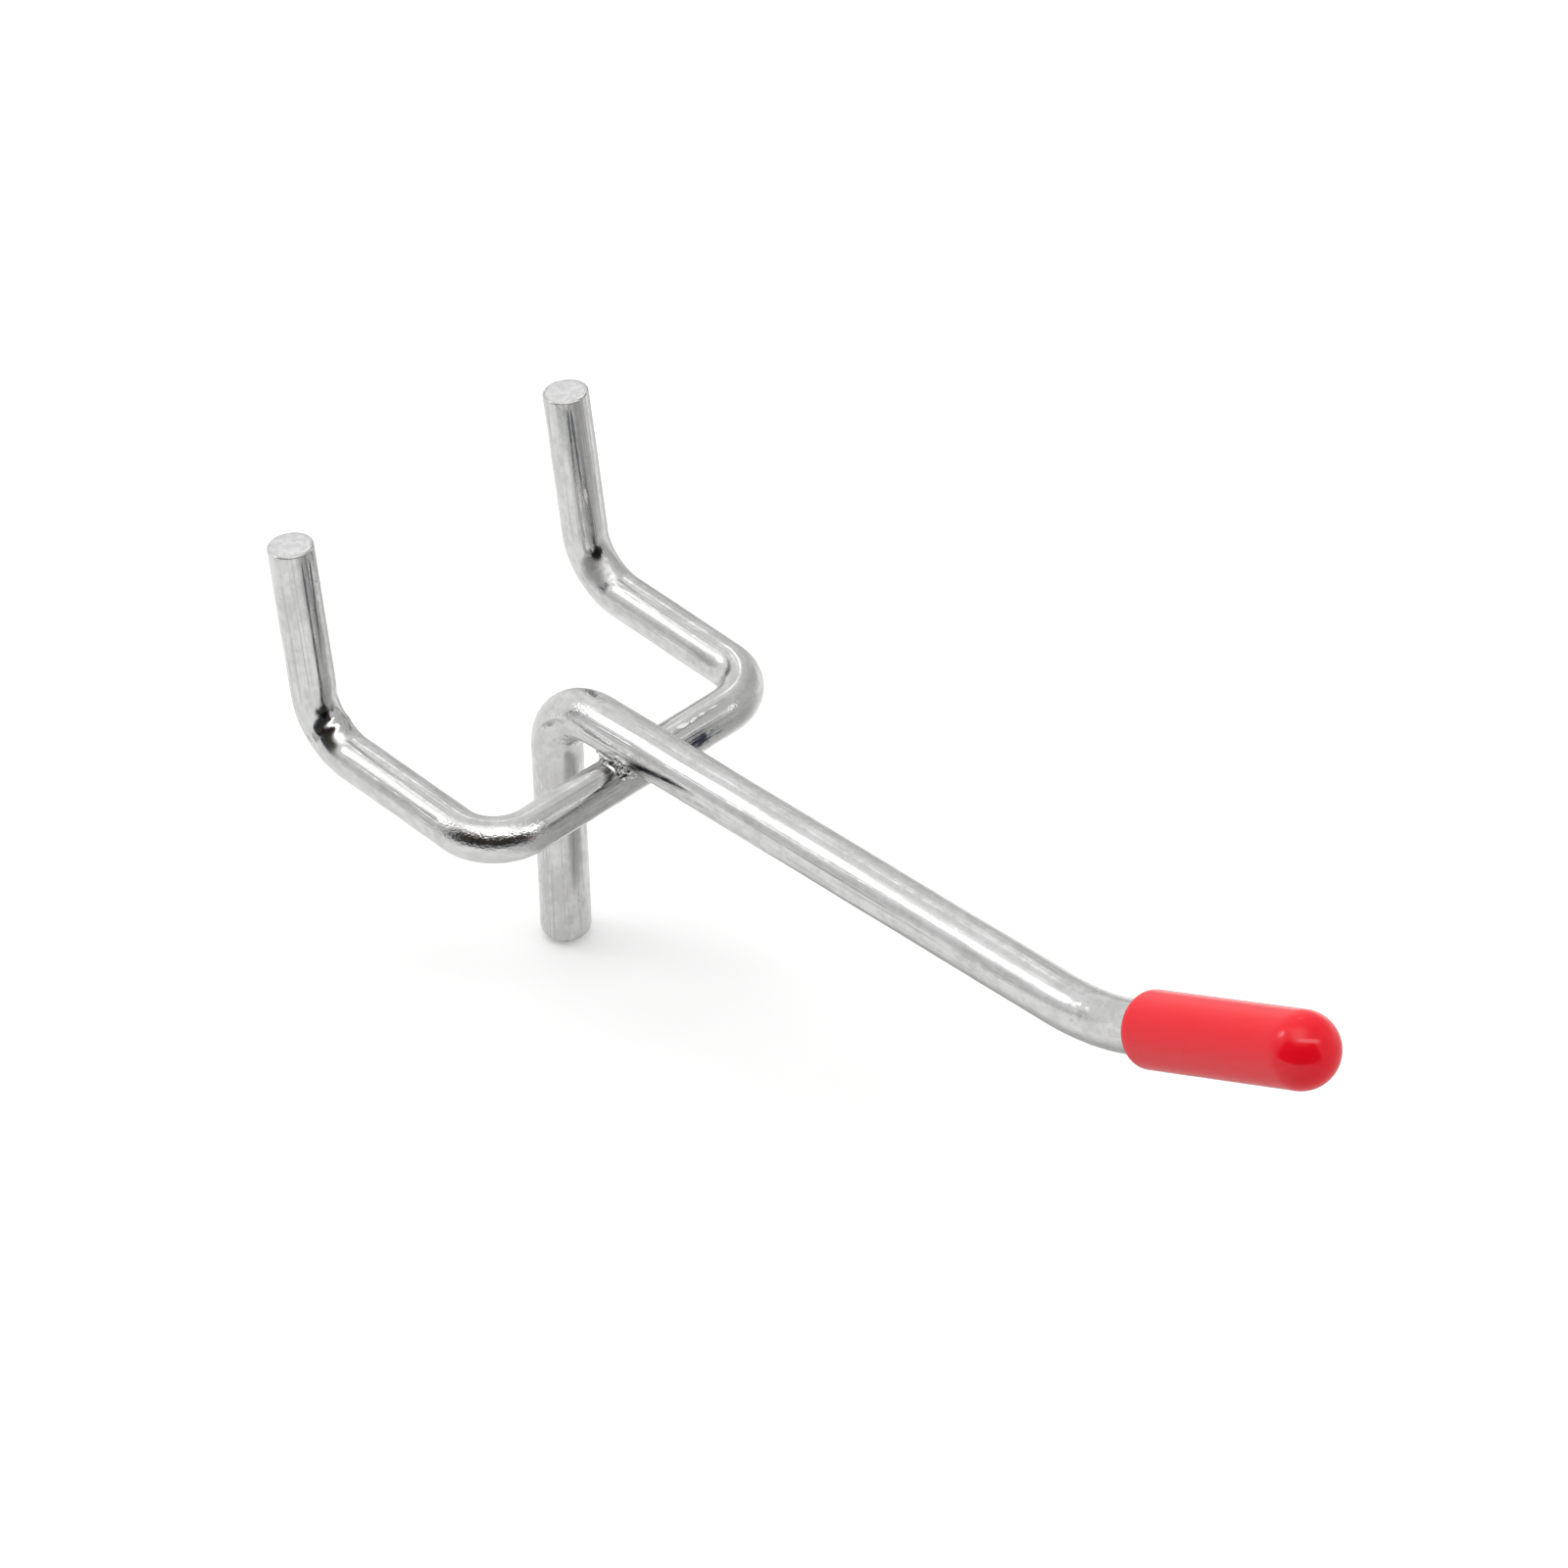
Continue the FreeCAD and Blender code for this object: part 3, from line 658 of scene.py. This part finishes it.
def cap_outline():
    """Half the cap's section as (radius, height) points: down the bore's wall from its seat to its mouth,
    round the rim, up the side and over the dome."""
    side_end = CAP_LENGTH - cap_radius
    wall_mid = cap_radius - CAP_RIM_ROUND
    outline = [(arm_radius, side_end)]
    for index in range(1, CAP_BORE_RINGS + 1):
        share = index / CAP_BORE_RINGS
        outline.append((arm_radius, side_end * (1 - share) + BORE_MOUTH * share))
    outline.append((arm_radius + BORE_LIP, BORE_LIP))
    for index in range(CAP_RIM_RINGS + 1):
        angle = rad(90) * index / CAP_RIM_RINGS
        outline.append((wall_mid + CAP_RIM_ROUND * math.sin(angle), CAP_RIM_ROUND * (1 - math.cos(angle))))
    for index in range(1, CAP_SIDE_RINGS + 1):
        share = index / CAP_SIDE_RINGS
        outline.append((cap_radius, CAP_RIM_ROUND + (side_end - CAP_RIM_ROUND) * share))
    for index in range(1, CAP_DOME_RINGS):
        angle = rad(90) * index / CAP_DOME_RINGS
        outline.append((cap_radius * math.cos(angle), side_end + cap_radius * math.sin(angle)))
    return outline


def dip_tip_cap(finish):
    """The soft cap, turned from its outline round the tip's axis, and closed in the bore and on the dome."""
    work = bmesh.new()
    side_axis = Vector((1, 0, 0))
    up_axis = tip_heading.cross(side_axis)
    rings = []
    for radius, height in cap_outline():
        ring = []
        for index in range(CAP_SIDES):
            angle = 2 * math.pi * index / CAP_SIDES
            place = (cap_rim + tip_heading * height + side_axis * (radius * math.cos(angle))
                     + up_axis * (radius * math.sin(angle)))
            ring.append(work.verts.new(place * MM))
        rings.append(ring)
    for lower, upper in zip(rings, rings[1:]):
        for index in range(CAP_SIDES):
            after = (index + 1) % CAP_SIDES
            work.faces.new((lower[index], lower[after], upper[after], upper[index]))
    for ring, height in ((rings[0], CAP_LENGTH - cap_radius), (rings[-1], CAP_LENGTH)):
        pole = work.verts.new((cap_rim + tip_heading * height) * MM)
        for index in range(CAP_SIDES):
            work.faces.new((ring[index], ring[(index + 1) % CAP_SIDES], pole))
    for face in work.faces:
        face.smooth = True
    mesh = bpy.data.meshes.new("vinyl_cap")
    work.to_mesh(mesh)
    work.free()
    turn_outwards(mesh)
    mesh.materials.append(finish)
    return placed(mesh)


def weld_flash_tree():
    """The metal pressed out where the wires were welded: a fillet between the two rods with a thin
    scalloped skin over them, found as the surface of a field of distances."""
    tree, w, given = new_tree("weld_flash", {
        "Middle": "Vector", "Low": "Vector", "High": "Vector", "Crossbar Radius": "Float",
        "Arm Axis": "Vector", "Arm Direction": "Vector", "Arm Radius": "Float", "Fillet": "Float",
        "Spread": "Float", "Thickness": "Float", "Fade": "Float", "Inside": "Float",
        "Half Height": "Float", "Across": "Int", "Up": "Int", "Finish": "Material",
    })
    place = w.first("GeometryNodeInputPosition")
    from_middle = w.vectors("SUBTRACT", place, given["Middle"])
    from_bar = w.vectors("LENGTH", w.stretch(from_middle, (0.0, 1.0, 1.0)))
    bar = w.less(from_bar, given["Crossbar Radius"])
    from_arm = w.vectors("SUBTRACT", place, given["Arm Axis"])
    from_arm = w.vectors("LENGTH", w.vectors("CROSS_PRODUCT", from_arm, given["Arm Direction"]))
    arm = w.less(from_arm, given["Arm Radius"])
    wires = w.maths("MINIMUM", bar, arm)

    # the fillet: the two distances run together where they are nearly equal
    nearly = w.maths("DIVIDE", w.apart(bar, arm), given["Fillet"])
    closeness = w.greatest(w.less(1.0, nearly), 0.0)
    web = w.product(closeness, closeness, given["Fillet"], FLASH_FULLNESS)

    # the skin: thin near the crossing, gone under the wires' surface past a scalloped edge
    out = w.vectors("LENGTH", w.stretch(from_middle, (1.0, 1.0, 0.0)))
    low, high = (depth * MM for depth in FLASH_SCALLOP)
    edge = w.total(given["Spread"], w.ramp(w.pattern(place, *SCALLOPS), 0.3, 0.7, low, high))
    near = w.ramp(w.less(edge, out), -FLASH_SOFT_EDGE * MM, FLASH_SOFT_EDGE * MM)
    skin = w.less(w.product(near, given["Thickness"]), given["Fade"])
    skin = w.total(skin, w.product(flash_streaks(w, place), near))

    # the shell: outside the wires up to its skin, inside them down to its depth, and no further out
    outside = w.less(w.less(wires, web), skin)
    inside = w.less(w.product(wires, -1.0), given["Inside"])
    above = w.less(w.apart(w.parts(from_middle)[2], FLASH_MIDDLE * MM), given["Half Height"])
    shell = w.greatest(outside, inside, w.less(out, FLASH_LIMIT * MM), above)
    block = w.first("GeometryNodeVolumeCube", {
        "Density": w.product(shell, -1.0 / MM), "Background": -1.0, "Min": given["Low"],
        "Max": given["High"], "Resolution X": given["Across"], "Resolution Y": given["Across"],
        "Resolution Z": given["Up"],
    })
    surface = w.first("GeometryNodeVolumeToMesh", {"Volume": block, "Threshold": 0.0})

    # its grain runs along the arm
    x, y, z = w.parts(w.first("GeometryNodeInputPosition"))
    grain = w.first("ShaderNodeCombineXYZ", {0: z, 1: x, 2: y})
    grain = w.vectors("ADD", grain, (FLASH_GRAIN_ASIDE * MM, 0.0, 0.0))
    close_tree(w, w.store(surface, "grain", grain), given["Finish"])
    return tree


def flash_streaks(w, place):
    """Fine streaks down the flank of the flash, as a depth."""
    down_flank = tuple(Vector(FLASH_STREAKS).normalized())
    slid = w.product(w.vectors("DOT_PRODUCT", place, down_flank), FLASH_DRAWN_OUT)
    drawn_out = w.vectors("SUBTRACT", place, w.scaled(down_flank, slid))
    low, high = (depth * MM for depth in FLASH_STREAK_DEPTH)
    return w.ramp(w.pattern(drawn_out, *FLASH_LINES), 0.32, 0.68, low, high)


def press_out_flash(finish):
    """The flash round the crossing, kept to the box that the weld has."""
    reach = Vector(FLASH_REACH)
    middle = Vector((0, -STANDOFF, 0))
    box_middle = middle + Vector((0, 0, FLASH_MIDDLE))
    margin = Vector((FLASH_MARGIN, FLASH_MARGIN, FLASH_MARGIN))
    host = placed(bpy.data.meshes.new("flash_host"))
    return made_piece(
        host, weld_flash_tree(), "pressed_flash", middle=middle * MM,
        low=(box_middle - reach - margin) * MM, high=(box_middle + reach + margin) * MM,
        crossbar_radius=back_radius * MM, arm_axis=Vector((0, -STANDOFF, crossing_height)) * MM,
        arm_direction=arm_heading, arm_radius=arm_radius * MM, fillet=FLASH_FILLET * MM,
        spread=FLASH_SPREAD * MM, thickness=(FLASH_THICKNESS + FLASH_FADE) * MM, fade=FLASH_FADE * MM,
        inside=FLASH_INSIDE * MM, half_height=FLASH_REACH[2] * MM,
        across=round((reach.x + FLASH_MARGIN) * 2 / FLASH_VOXEL),
        up=round((reach.z + FLASH_MARGIN) * 2 / FLASH_VOXEL), finish=finish)


def new_material(name):
    """An empty material, and the wiring to fill it."""
    material = bpy.data.materials.new(name)
    material.use_nodes = True
    return material, Wiring(material.node_tree)


def zinc_plate(name, smoothest, roughest, relief, scuffing):
    """Bright zinc over drawn steel: lines along the wire from the drawing die, haze in clouds, and the
    cut ends paler and rougher than the drawn skin."""
    material, w = new_material(name)
    skin = drawn_skin(w, scuffing)
    marks = marks_left(w, skin)
    colour = zinc_colour(w, skin, marks)
    rough = zinc_roughness(w, skin, marks, smoothest, roughest)
    bump = w.first("ShaderNodeBump", {"Height": zinc_height(w, skin, marks), "Strength": 1.0,
                                      "Distance": relief})
    shader = w.first("ShaderNodeBsdfPrincipled", {"Base Color": colour, "Metallic": 1.0,
                                                  "Roughness": rough, "Normal": bump})
    w.node("ShaderNodeOutputMaterial", {"Surface": shader})
    return material


def drawn_skin(w, scuffing):
    """The patterns of the plated skin: haze, grit and lines, and where cutting and bending changed them."""
    grain = w.node("ShaderNodeAttribute", attribute_name="grain").outputs["Vector"]
    stretched, bent, crest = (w.node("ShaderNodeAttribute", attribute_name=name).outputs["Fac"]
                              for name in ("stretched", "bent", "crest"))
    fine = w.pattern(grain, *FINE_LINES)
    coarse = w.pattern(grain, *COARSE_LINES)
    haze = w.pattern(grain, *HAZE)
    mottle = w.pattern(grain, *MOTTLE)
    from_axis = w.vectors("LENGTH", w.stretch(grain, (1.0, 1.0, 0.0)))

    # bending wears the drawn lines away, and the worked inside of a bend is scuffed
    drawn = w.ramp(w.greatest(stretched, w.product(bent, 0.9)), 0.0, 1.0, 1.0, 0.12)
    both = w.total(w.product(coarse, 0.5), w.product(mottle, 0.5))
    scuff = w.product(w.ramp(both, 0.50, 0.60), w.ramp(crest, 0.1, 0.9, 0.0, scuffing),
                      w.ramp(stretched, 0.0, 0.5, 1.0, 0.0))

    # a few long hair lines lie where a broad pattern passes its middle
    hair = w.ramp(w.apart(w.pattern(grain, *BROAD_LINES), 0.5), 0.004, 0.014, 1.0, 0.0)
    hair = w.product(hair, w.ramp(haze, 0.40, 0.58, 0.15, 1.0))
    die_line = w.greatest(w.ramp(coarse, 0.58, 0.64), w.ramp(fine, 0.60, 0.72))
    die_line = w.product(die_line, w.product(drawn, 0.42))
    die_line = w.greatest(die_line, w.product(hair, w.product(drawn, 0.85)))
    return SimpleNamespace(
        fine=fine, coarse=coarse, mottle=mottle, grit=w.pattern(grain, *GRIT), hair=hair,
        cloud=w.total(w.product(haze, 0.6), w.product(mottle, 0.4)), die_line=die_line,
        cut_face=w.ramp(from_axis, 1.25 * MM, 1.50 * MM, 1.0, 0.0), drawn=drawn, scuff=scuff,
        stretched=stretched)


def marks_left(w, skin):
    """What the weld, the bending pin and handling left on the skin, with painted dark reflections on the
    crossbar and in the prongs' bends, painted shade along the arm beside the crossing, and scratches painted
    near white as painted highlights, drawn in the hook's coordinates.
    """
    place = w.node("ShaderNodeTexCoord").outputs["Object"]
    wander = [w.ramp(each, 0.3, 0.7, -RAGGED * MM, RAGGED * MM) for each in (skin.mottle, skin.fine)]
    ragged = w.total(*wander)
    # a painted dark reflection of the arm on the crossbar
    fade_start, fade_end = (distance * MM for distance in PAINTED_REFLECTION_FADE)
    from_reflection_spot = w.total(away_from(w, place, PAINTED_REFLECTION_SPOT, PAINTED_REFLECTION_SQUEEZE), ragged)
    dark = [w.ramp(from_reflection_spot, fade_start, fade_end, 1.0, 0.0)]
    # painted shade along the arm's flank beside the crossing, and a dark scratch
    dark += [thin_mark(w, place, skin.mottle, *mark) for mark in SHADE_AND_SCRATCH_MARKS.values()]
    for side, start_angle, start_height, finish_angle, finish_height, half_width in PRONG_SCRATCHES:
        start = prong_skin(side, start_angle, start_height)
        finish = prong_skin(side, finish_angle, finish_height)
        dark.append(thin_mark(w, place, skin.mottle, start, finish, half_width, SCRATCH_BREAKS,
                              SCRATCH_STRENGTH))
    # scratches, spatter and a sliver painted near white as painted highlights
    bright = [thin_mark(w, place, skin.mottle, *mark) for mark in SCRATCH_AND_HIGHLIGHT_MARKS.values()]
    # near-black spots painted in the prongs' bends as painted dark reflection
    dark_reflections = []
    for spot in DARK_REFLECTION_SPOTS:
        from_dark_spot = w.total(away_from(w, place, spot), w.product(ragged, 0.4))
        dark_reflections.append(w.ramp(from_dark_spot, DARK_REFLECTION_REACH * 0.6 * MM, DARK_REFLECTION_REACH * 1.15 * MM, 0.97, 0.0))
    from_crushed = w.total(away_from(w, place, CRUSHED), ragged)
    crushed = w.ramp(from_crushed, CRUSHED_REACH * 0.5 * MM, CRUSHED_REACH * 1.1 * MM, 1.0, 0.0)
    return SimpleNamespace(dark=w.greatest(*dark), bright=w.greatest(*bright), dark_reflections=dark_reflections,
                           crushed=crushed)


def away_from(w, place, spot, squeeze=(1.0, 1.0, 1.0)):
    """How far a place is from a spot, measured longer or shorter in each direction."""
    offset = w.vectors("SUBTRACT", place, tuple(Vector(spot) * MM))
    return w.vectors("LENGTH", w.stretch(offset, squeeze))


def thin_mark(w, place, mottle, start, finish, half_width, breaks, strength):
    """A thin mark from one point to another, tapering to nothing at both ends, broken up by the mottle."""
    start, finish = Vector(start) * MM, Vector(finish) * MM
    run = finish - start
    from_start = w.vectors("SUBTRACT", place, tuple(start))
    passed = w.vectors("DOT_PRODUCT", from_start, tuple(run.normalized()))
    share = w.maths("DIVIDE", passed, run.length, clamp=True)
    off = w.vectors("LENGTH", w.vectors("SUBTRACT", from_start, w.scaled(tuple(run), share)))
    taper = w.product(w.ramp(share, 0.0, WIDEST_FROM), w.ramp(share, WIDEST_TO, 1.0, 1.0, 0.0))
    reach = w.product(taper, half_width * MM, w.ramp(mottle, *breaks))
    never_nothing = w.total(reach, 1e-9)
    outwards = w.maths("DIVIDE", off, never_nothing)
    return w.product(w.ramp(outwards, MARK_FADES_FROM, 1.0, 1.0, 0.0), strength)


def zinc_colour(w, skin, marks):
    """The clouded zinc, then what darkens or brightens it, one over the other: real marks, and painted dark
    reflections, painted shade and painted highlights.
    """
    colour = w.blend(w.ramp(skin.cloud, 0.38, 0.62), ZINC_DULL, ZINC_CLEAR)
    colour = w.blend(skin.die_line, colour, DIE_LINE_GREY)
    colour = w.blend(skin.scuff, colour, SCUFF_GREY)
    cut = w.blend(w.ramp(skin.mottle, 0.42, 0.58), CUT_DULL, CUT_CLEAR)
    colour = w.blend(skin.cut_face, colour, cut)
    # painted dark reflection in the prongs' bends
    for dark_reflections in marks.dark_reflections:
        colour = w.blend(dark_reflections, colour, PAINTED_REFLECTION_BLACK)
    # dark scratches, with painted shade and painted dark reflection near the weld
    colour = w.blend(marks.dark, colour, SCRATCH_AND_PAINTED_SHADE_BLUE)
    # painted highlights on the bright scratches and spatter
    return w.blend(marks.bright, colour, SCRATCH_AND_HIGHLIGHT_WHITE)


def zinc_roughness(w, skin, marks, smoothest, roughest):
    """Smooth where the zinc is clear, rougher along the drawn lines, on a cut face and on the marks."""
    return w.total(
        w.ramp(skin.cloud, 0.40, 0.60, roughest, smoothest),
        w.product(w.ramp(skin.fine, 0.35, 0.70, 0.0, 0.09), skin.drawn),
        w.product(skin.cut_face, 0.14),
        w.product(marks.bright, 0.25),
        w.product(marks.crushed, 0.42))


def zinc_height(w, skin, marks):
    """The relief in metres: drawn lines with finer hair lines cut in, a torn cut face, and the grain of
    the stretched skin."""
    lines = w.total(w.product(skin.fine, 3.5e-6), w.product(skin.coarse, 12e-6))
    lines = w.less(lines, w.product(skin.hair, 6e-6))
    return w.total(
        w.product(lines, skin.drawn),
        w.product(skin.mottle, w.ramp(skin.cut_face, 0.0, 1.0, 4e-6, 28e-6)),
        w.product(skin.grit, w.ramp(skin.stretched, 0.0, 1.0, 4e-6, 30e-6)),
        w.product(marks.bright, 15e-6))


def red_vinyl():
    """Soft vinyl, dipped: an even red with a satin skin."""
    material, w = new_material("red_vinyl")
    place = w.node("ShaderNodeTexCoord").outputs["Object"]
    cloud = w.pattern(place, *VINYL_CLOUD)
    colour = w.blend(w.ramp(cloud, 0.3, 0.7), VINYL_DEEP, VINYL_PALE)
    bump = w.first("ShaderNodeBump", {"Height": w.pattern(place, *VINYL_SKIN), "Strength": 1.0,
                                      "Distance": 8e-6})
    shader = w.first("ShaderNodeBsdfPrincipled", {"Base Color": colour, "IOR": 1.42, "Normal": bump,
                                                  "Roughness": w.ramp(cloud, 0.3, 0.7, 0.13, 0.17)})
    w.node("ShaderNodeOutputMaterial", {"Surface": shader})
    return material


def set_camera():
    """The camera where the photograph was taken from, without shift or depth of field."""
    azimuth, elevation, roll = rad(CAMERA_AZIMUTH), rad(CAMERA_ELEVATION), rad(CAMERA_ROLL)
    back = Vector((math.sin(azimuth) * math.cos(elevation), -math.cos(azimuth) * math.cos(elevation),
                   math.sin(elevation)))
    level = Vector((math.cos(azimuth), math.sin(azimuth), 0))
    upright = back.cross(level)
    right = level * math.cos(roll) + upright * math.sin(roll)
    up = upright * math.cos(roll) - level * math.sin(roll)
    place = CAMERA_TARGET + back * CAMERA_DISTANCE - right * CAMERA_SLIDE[0] - up * CAMERA_SLIDE[1]
    data = bpy.data.cameras.new("camera")
    data.lens = CAMERA_LENS
    data.sensor_width = 36.0
    data.clip_start = 0.01
    data.clip_end = 50.0
    camera = bpy.data.objects.new("camera", data)
    bpy.context.scene.collection.objects.link(camera)
    turned = Matrix((right, up, back)).transposed().to_4x4()
    camera.matrix_world = Matrix.Translation(place * MM) @ turned
    bpy.context.scene.camera = camera


def direction(azimuth, elevation):
    """The unit vector that points from the hook towards a place in the studio."""
    a, e = rad(azimuth), rad(elevation)
    return Vector((math.sin(a) * math.cos(e), -math.cos(a) * math.cos(e), math.sin(e)))


def patch(w, look, azimuth, elevation, inner, outer):
    """1 within the inner angle of a direction, and nothing past the outer one."""
    aligned = w.vectors("DOT_PRODUCT", look, tuple(direction(azimuth, elevation)))
    return w.ramp(aligned, math.cos(rad(outer)), math.cos(rad(inner)))


def dark_room(w, azimuth, elevation):
    """1 in the oblong of the dark room past the opening."""
    middle, height, half_width, half_height, fade = (rad(angle) for angle in ROOM)
    beside = w.less(w.apart(azimuth, middle), half_width)
    above = w.less(w.apart(elevation, height), half_height)
    return w.ramp(w.greatest(beside, above), 0.0, fade, 1.0, 0.0)


def tent_light(w, look, room):
    """How bright the tent is in the direction of look."""
    light = w.less(WALL, w.product(patch(w, look, *SIDE_WALL), SIDE_WALL_LOSS))
    for part, loss in DARKER_PARTS.values():
        light = w.dimmed(light, patch(w, look, *part), loss)
    light = w.dimmed(light, room, ROOM_LOSS)
    for part, gain in BRIGHTER_PARTS.values():
        light = w.total(light, w.product(patch(w, look, *part), gain))
    from_middle = w.maths("ARCCOSINE", w.vectors("DOT_PRODUCT", look, tuple(direction(*STRIP_ROUND))))
    from_ring = w.apart(from_middle, rad(STRIP_RADIUS))
    strip = w.ramp(from_ring, rad(STRIP_HALF_WIDTH * 0.5), rad(STRIP_HALF_WIDTH), STRIP_GAIN, 0.0)
    return w.total(light, w.product(strip, patch(w, look, *STRIP_PIECE)))


def light_studio():
    """A white tent: a bright ceiling, a lamp behind, grey walls, and the dark room seen through the
    open front where the camera looks in. The camera itself sees plain white."""
    world = bpy.data.worlds.new("tent")
    bpy.context.scene.world = world
    world.use_nodes = True
    w = Wiring(world.node_tree)
    look = w.vectors("NORMALIZE", w.node("ShaderNodeTexCoord").outputs["Generated"])
    x, y, z = w.parts(look)
    azimuth = w.maths("ARCTAN2", x, w.product(y, -1.0))
    elevation = w.maths("ARCSINE", z)
    room = dark_room(w, azimuth, elevation)
    seen = w.node("ShaderNodeLightPath").outputs["Is Camera Ray"]
    unseen = w.less(1.0, seen)
    light = w.total(w.product(tent_light(w, look, room), unseen), seen)
    tint = w.blend(w.ramp(elevation, *(rad(angle) for angle in ROOM_TURNS)), ROOM_LOW, ROOM_HIGH)
    tint = w.blend(w.product(room, unseen), WHITE, tint)
    background = w.first("ShaderNodeBackground", {"Color": tint, "Strength": light})
    w.node("ShaderNodeOutputWorld", {"Surface": background})


def white_table():
    """Matt white that glows a little, so that it is even to the camera; less of both is mirrored from its
    dark quarter and from the foot of the far wall, and from below it can be seen through."""
    material, w = new_material("white_table")
    path = w.node("ShaderNodeLightPath").outputs
    geometry = w.node("ShaderNodeNewGeometry").outputs
    out = w.vectors("SUBTRACT", geometry["Position"], (0.0, -STANDOFF * MM, 0.0))
    quarter = patch(w, w.vectors("NORMALIZE", w.stretch(out, (1.0, 1.0, 0.0))), *DARK_QUARTER)
    foot = patch(w, w.vectors("NORMALIZE", out), *FAR_FOOT)
    lost = w.greatest(w.product(quarter, DARK_QUARTER_LOSS), w.product(foot, FAR_FOOT_LOSS))
    kept = w.less(1.0, w.product(lost, path["Is Glossy Ray"]))
    paint = w.first("ShaderNodeBsdfDiffuse", {"Color": w.product(kept, FLOOR_WHITE)})
    glow = w.total(w.product(path["Is Camera Ray"], FLOOR_GLOW),
                   w.product(path["Is Glossy Ray"], FLOOR_GLOW_IN_METAL))
    glow = w.first("ShaderNodeEmission", {"Strength": w.product(glow, kept)})
    top = w.first("ShaderNodeAddShader", {0: paint, 1: glow})
    clear = w.first("ShaderNodeBsdfTransparent")
    mixed = w.first("ShaderNodeMixShader", {0: geometry["Backfacing"], 1: top, 2: clear})
    w.node("ShaderNodeOutputMaterial", {"Surface": mixed})
    return material


def lay_floor():
    """A plain white table under the hook, at the height of its foot; it keeps the shadow."""
    low = cad_box[0].z
    corners = [(-FLOOR_HALF, -FLOOR_HALF, low), (FLOOR_HALF, -FLOOR_HALF, low),
               (FLOOR_HALF, FLOOR_HALF, low), (-FLOOR_HALF, FLOOR_HALF, low)]
    mesh = bpy.data.meshes.new("floor")
    mesh.from_pydata(corners, [], [(0, 1, 2, 3)])
    mesh.materials.append(white_table())
    floor = placed(mesh)


zinc = zinc_plate("bright_zinc", smoothest=0.10, roughest=0.22, relief=1.0, scuffing=0.8)
flash_zinc = zinc_plate("zinc_on_flash", smoothest=0.06, roughest=0.12, relief=0.5, scuffing=0.0)
drawing = drawn_wire_tree()
back_line = wire_line("back_line", BACK_CORNERS, BACK_BENDS, BACK_PINCHES, back_radius, SHEARED_END,
                      SHEARED_END)
back_wire = draw_wire(drawing, "bent_back_wire", back_line, BACK_WIRE_MARKS, seat_centre=(0.0, 0.0, 1.0),
                      seat_radius=0.0, finish=zinc)
arm_line = wire_line("arm_line", ARM_CORNERS, ARM_BENDS, ARM_PINCHES, arm_radius, FOOT_END, HIDDEN_END)
arm_wire = draw_wire(drawing, "bent_arm_wire", arm_line, ARM_WIRE_MARKS,
                     seat_centre=(0.0, -STANDOFF * MM, 0.0), seat_radius=back_radius * MM, finish=zinc)
cap = dip_tip_cap(red_vinyl())
flash = press_out_flash(flash_zinc)

pieces = {"back_wire": back_wire, "arm_wire": arm_wire, "tip_cap": cap, "cross_weld": flash}
for node, piece in pieces.items():
    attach(piece, "root")
    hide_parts(node)

set_camera()
light_studio()
lay_floor()
bpy.context.scene.view_settings.view_transform = "Standard"
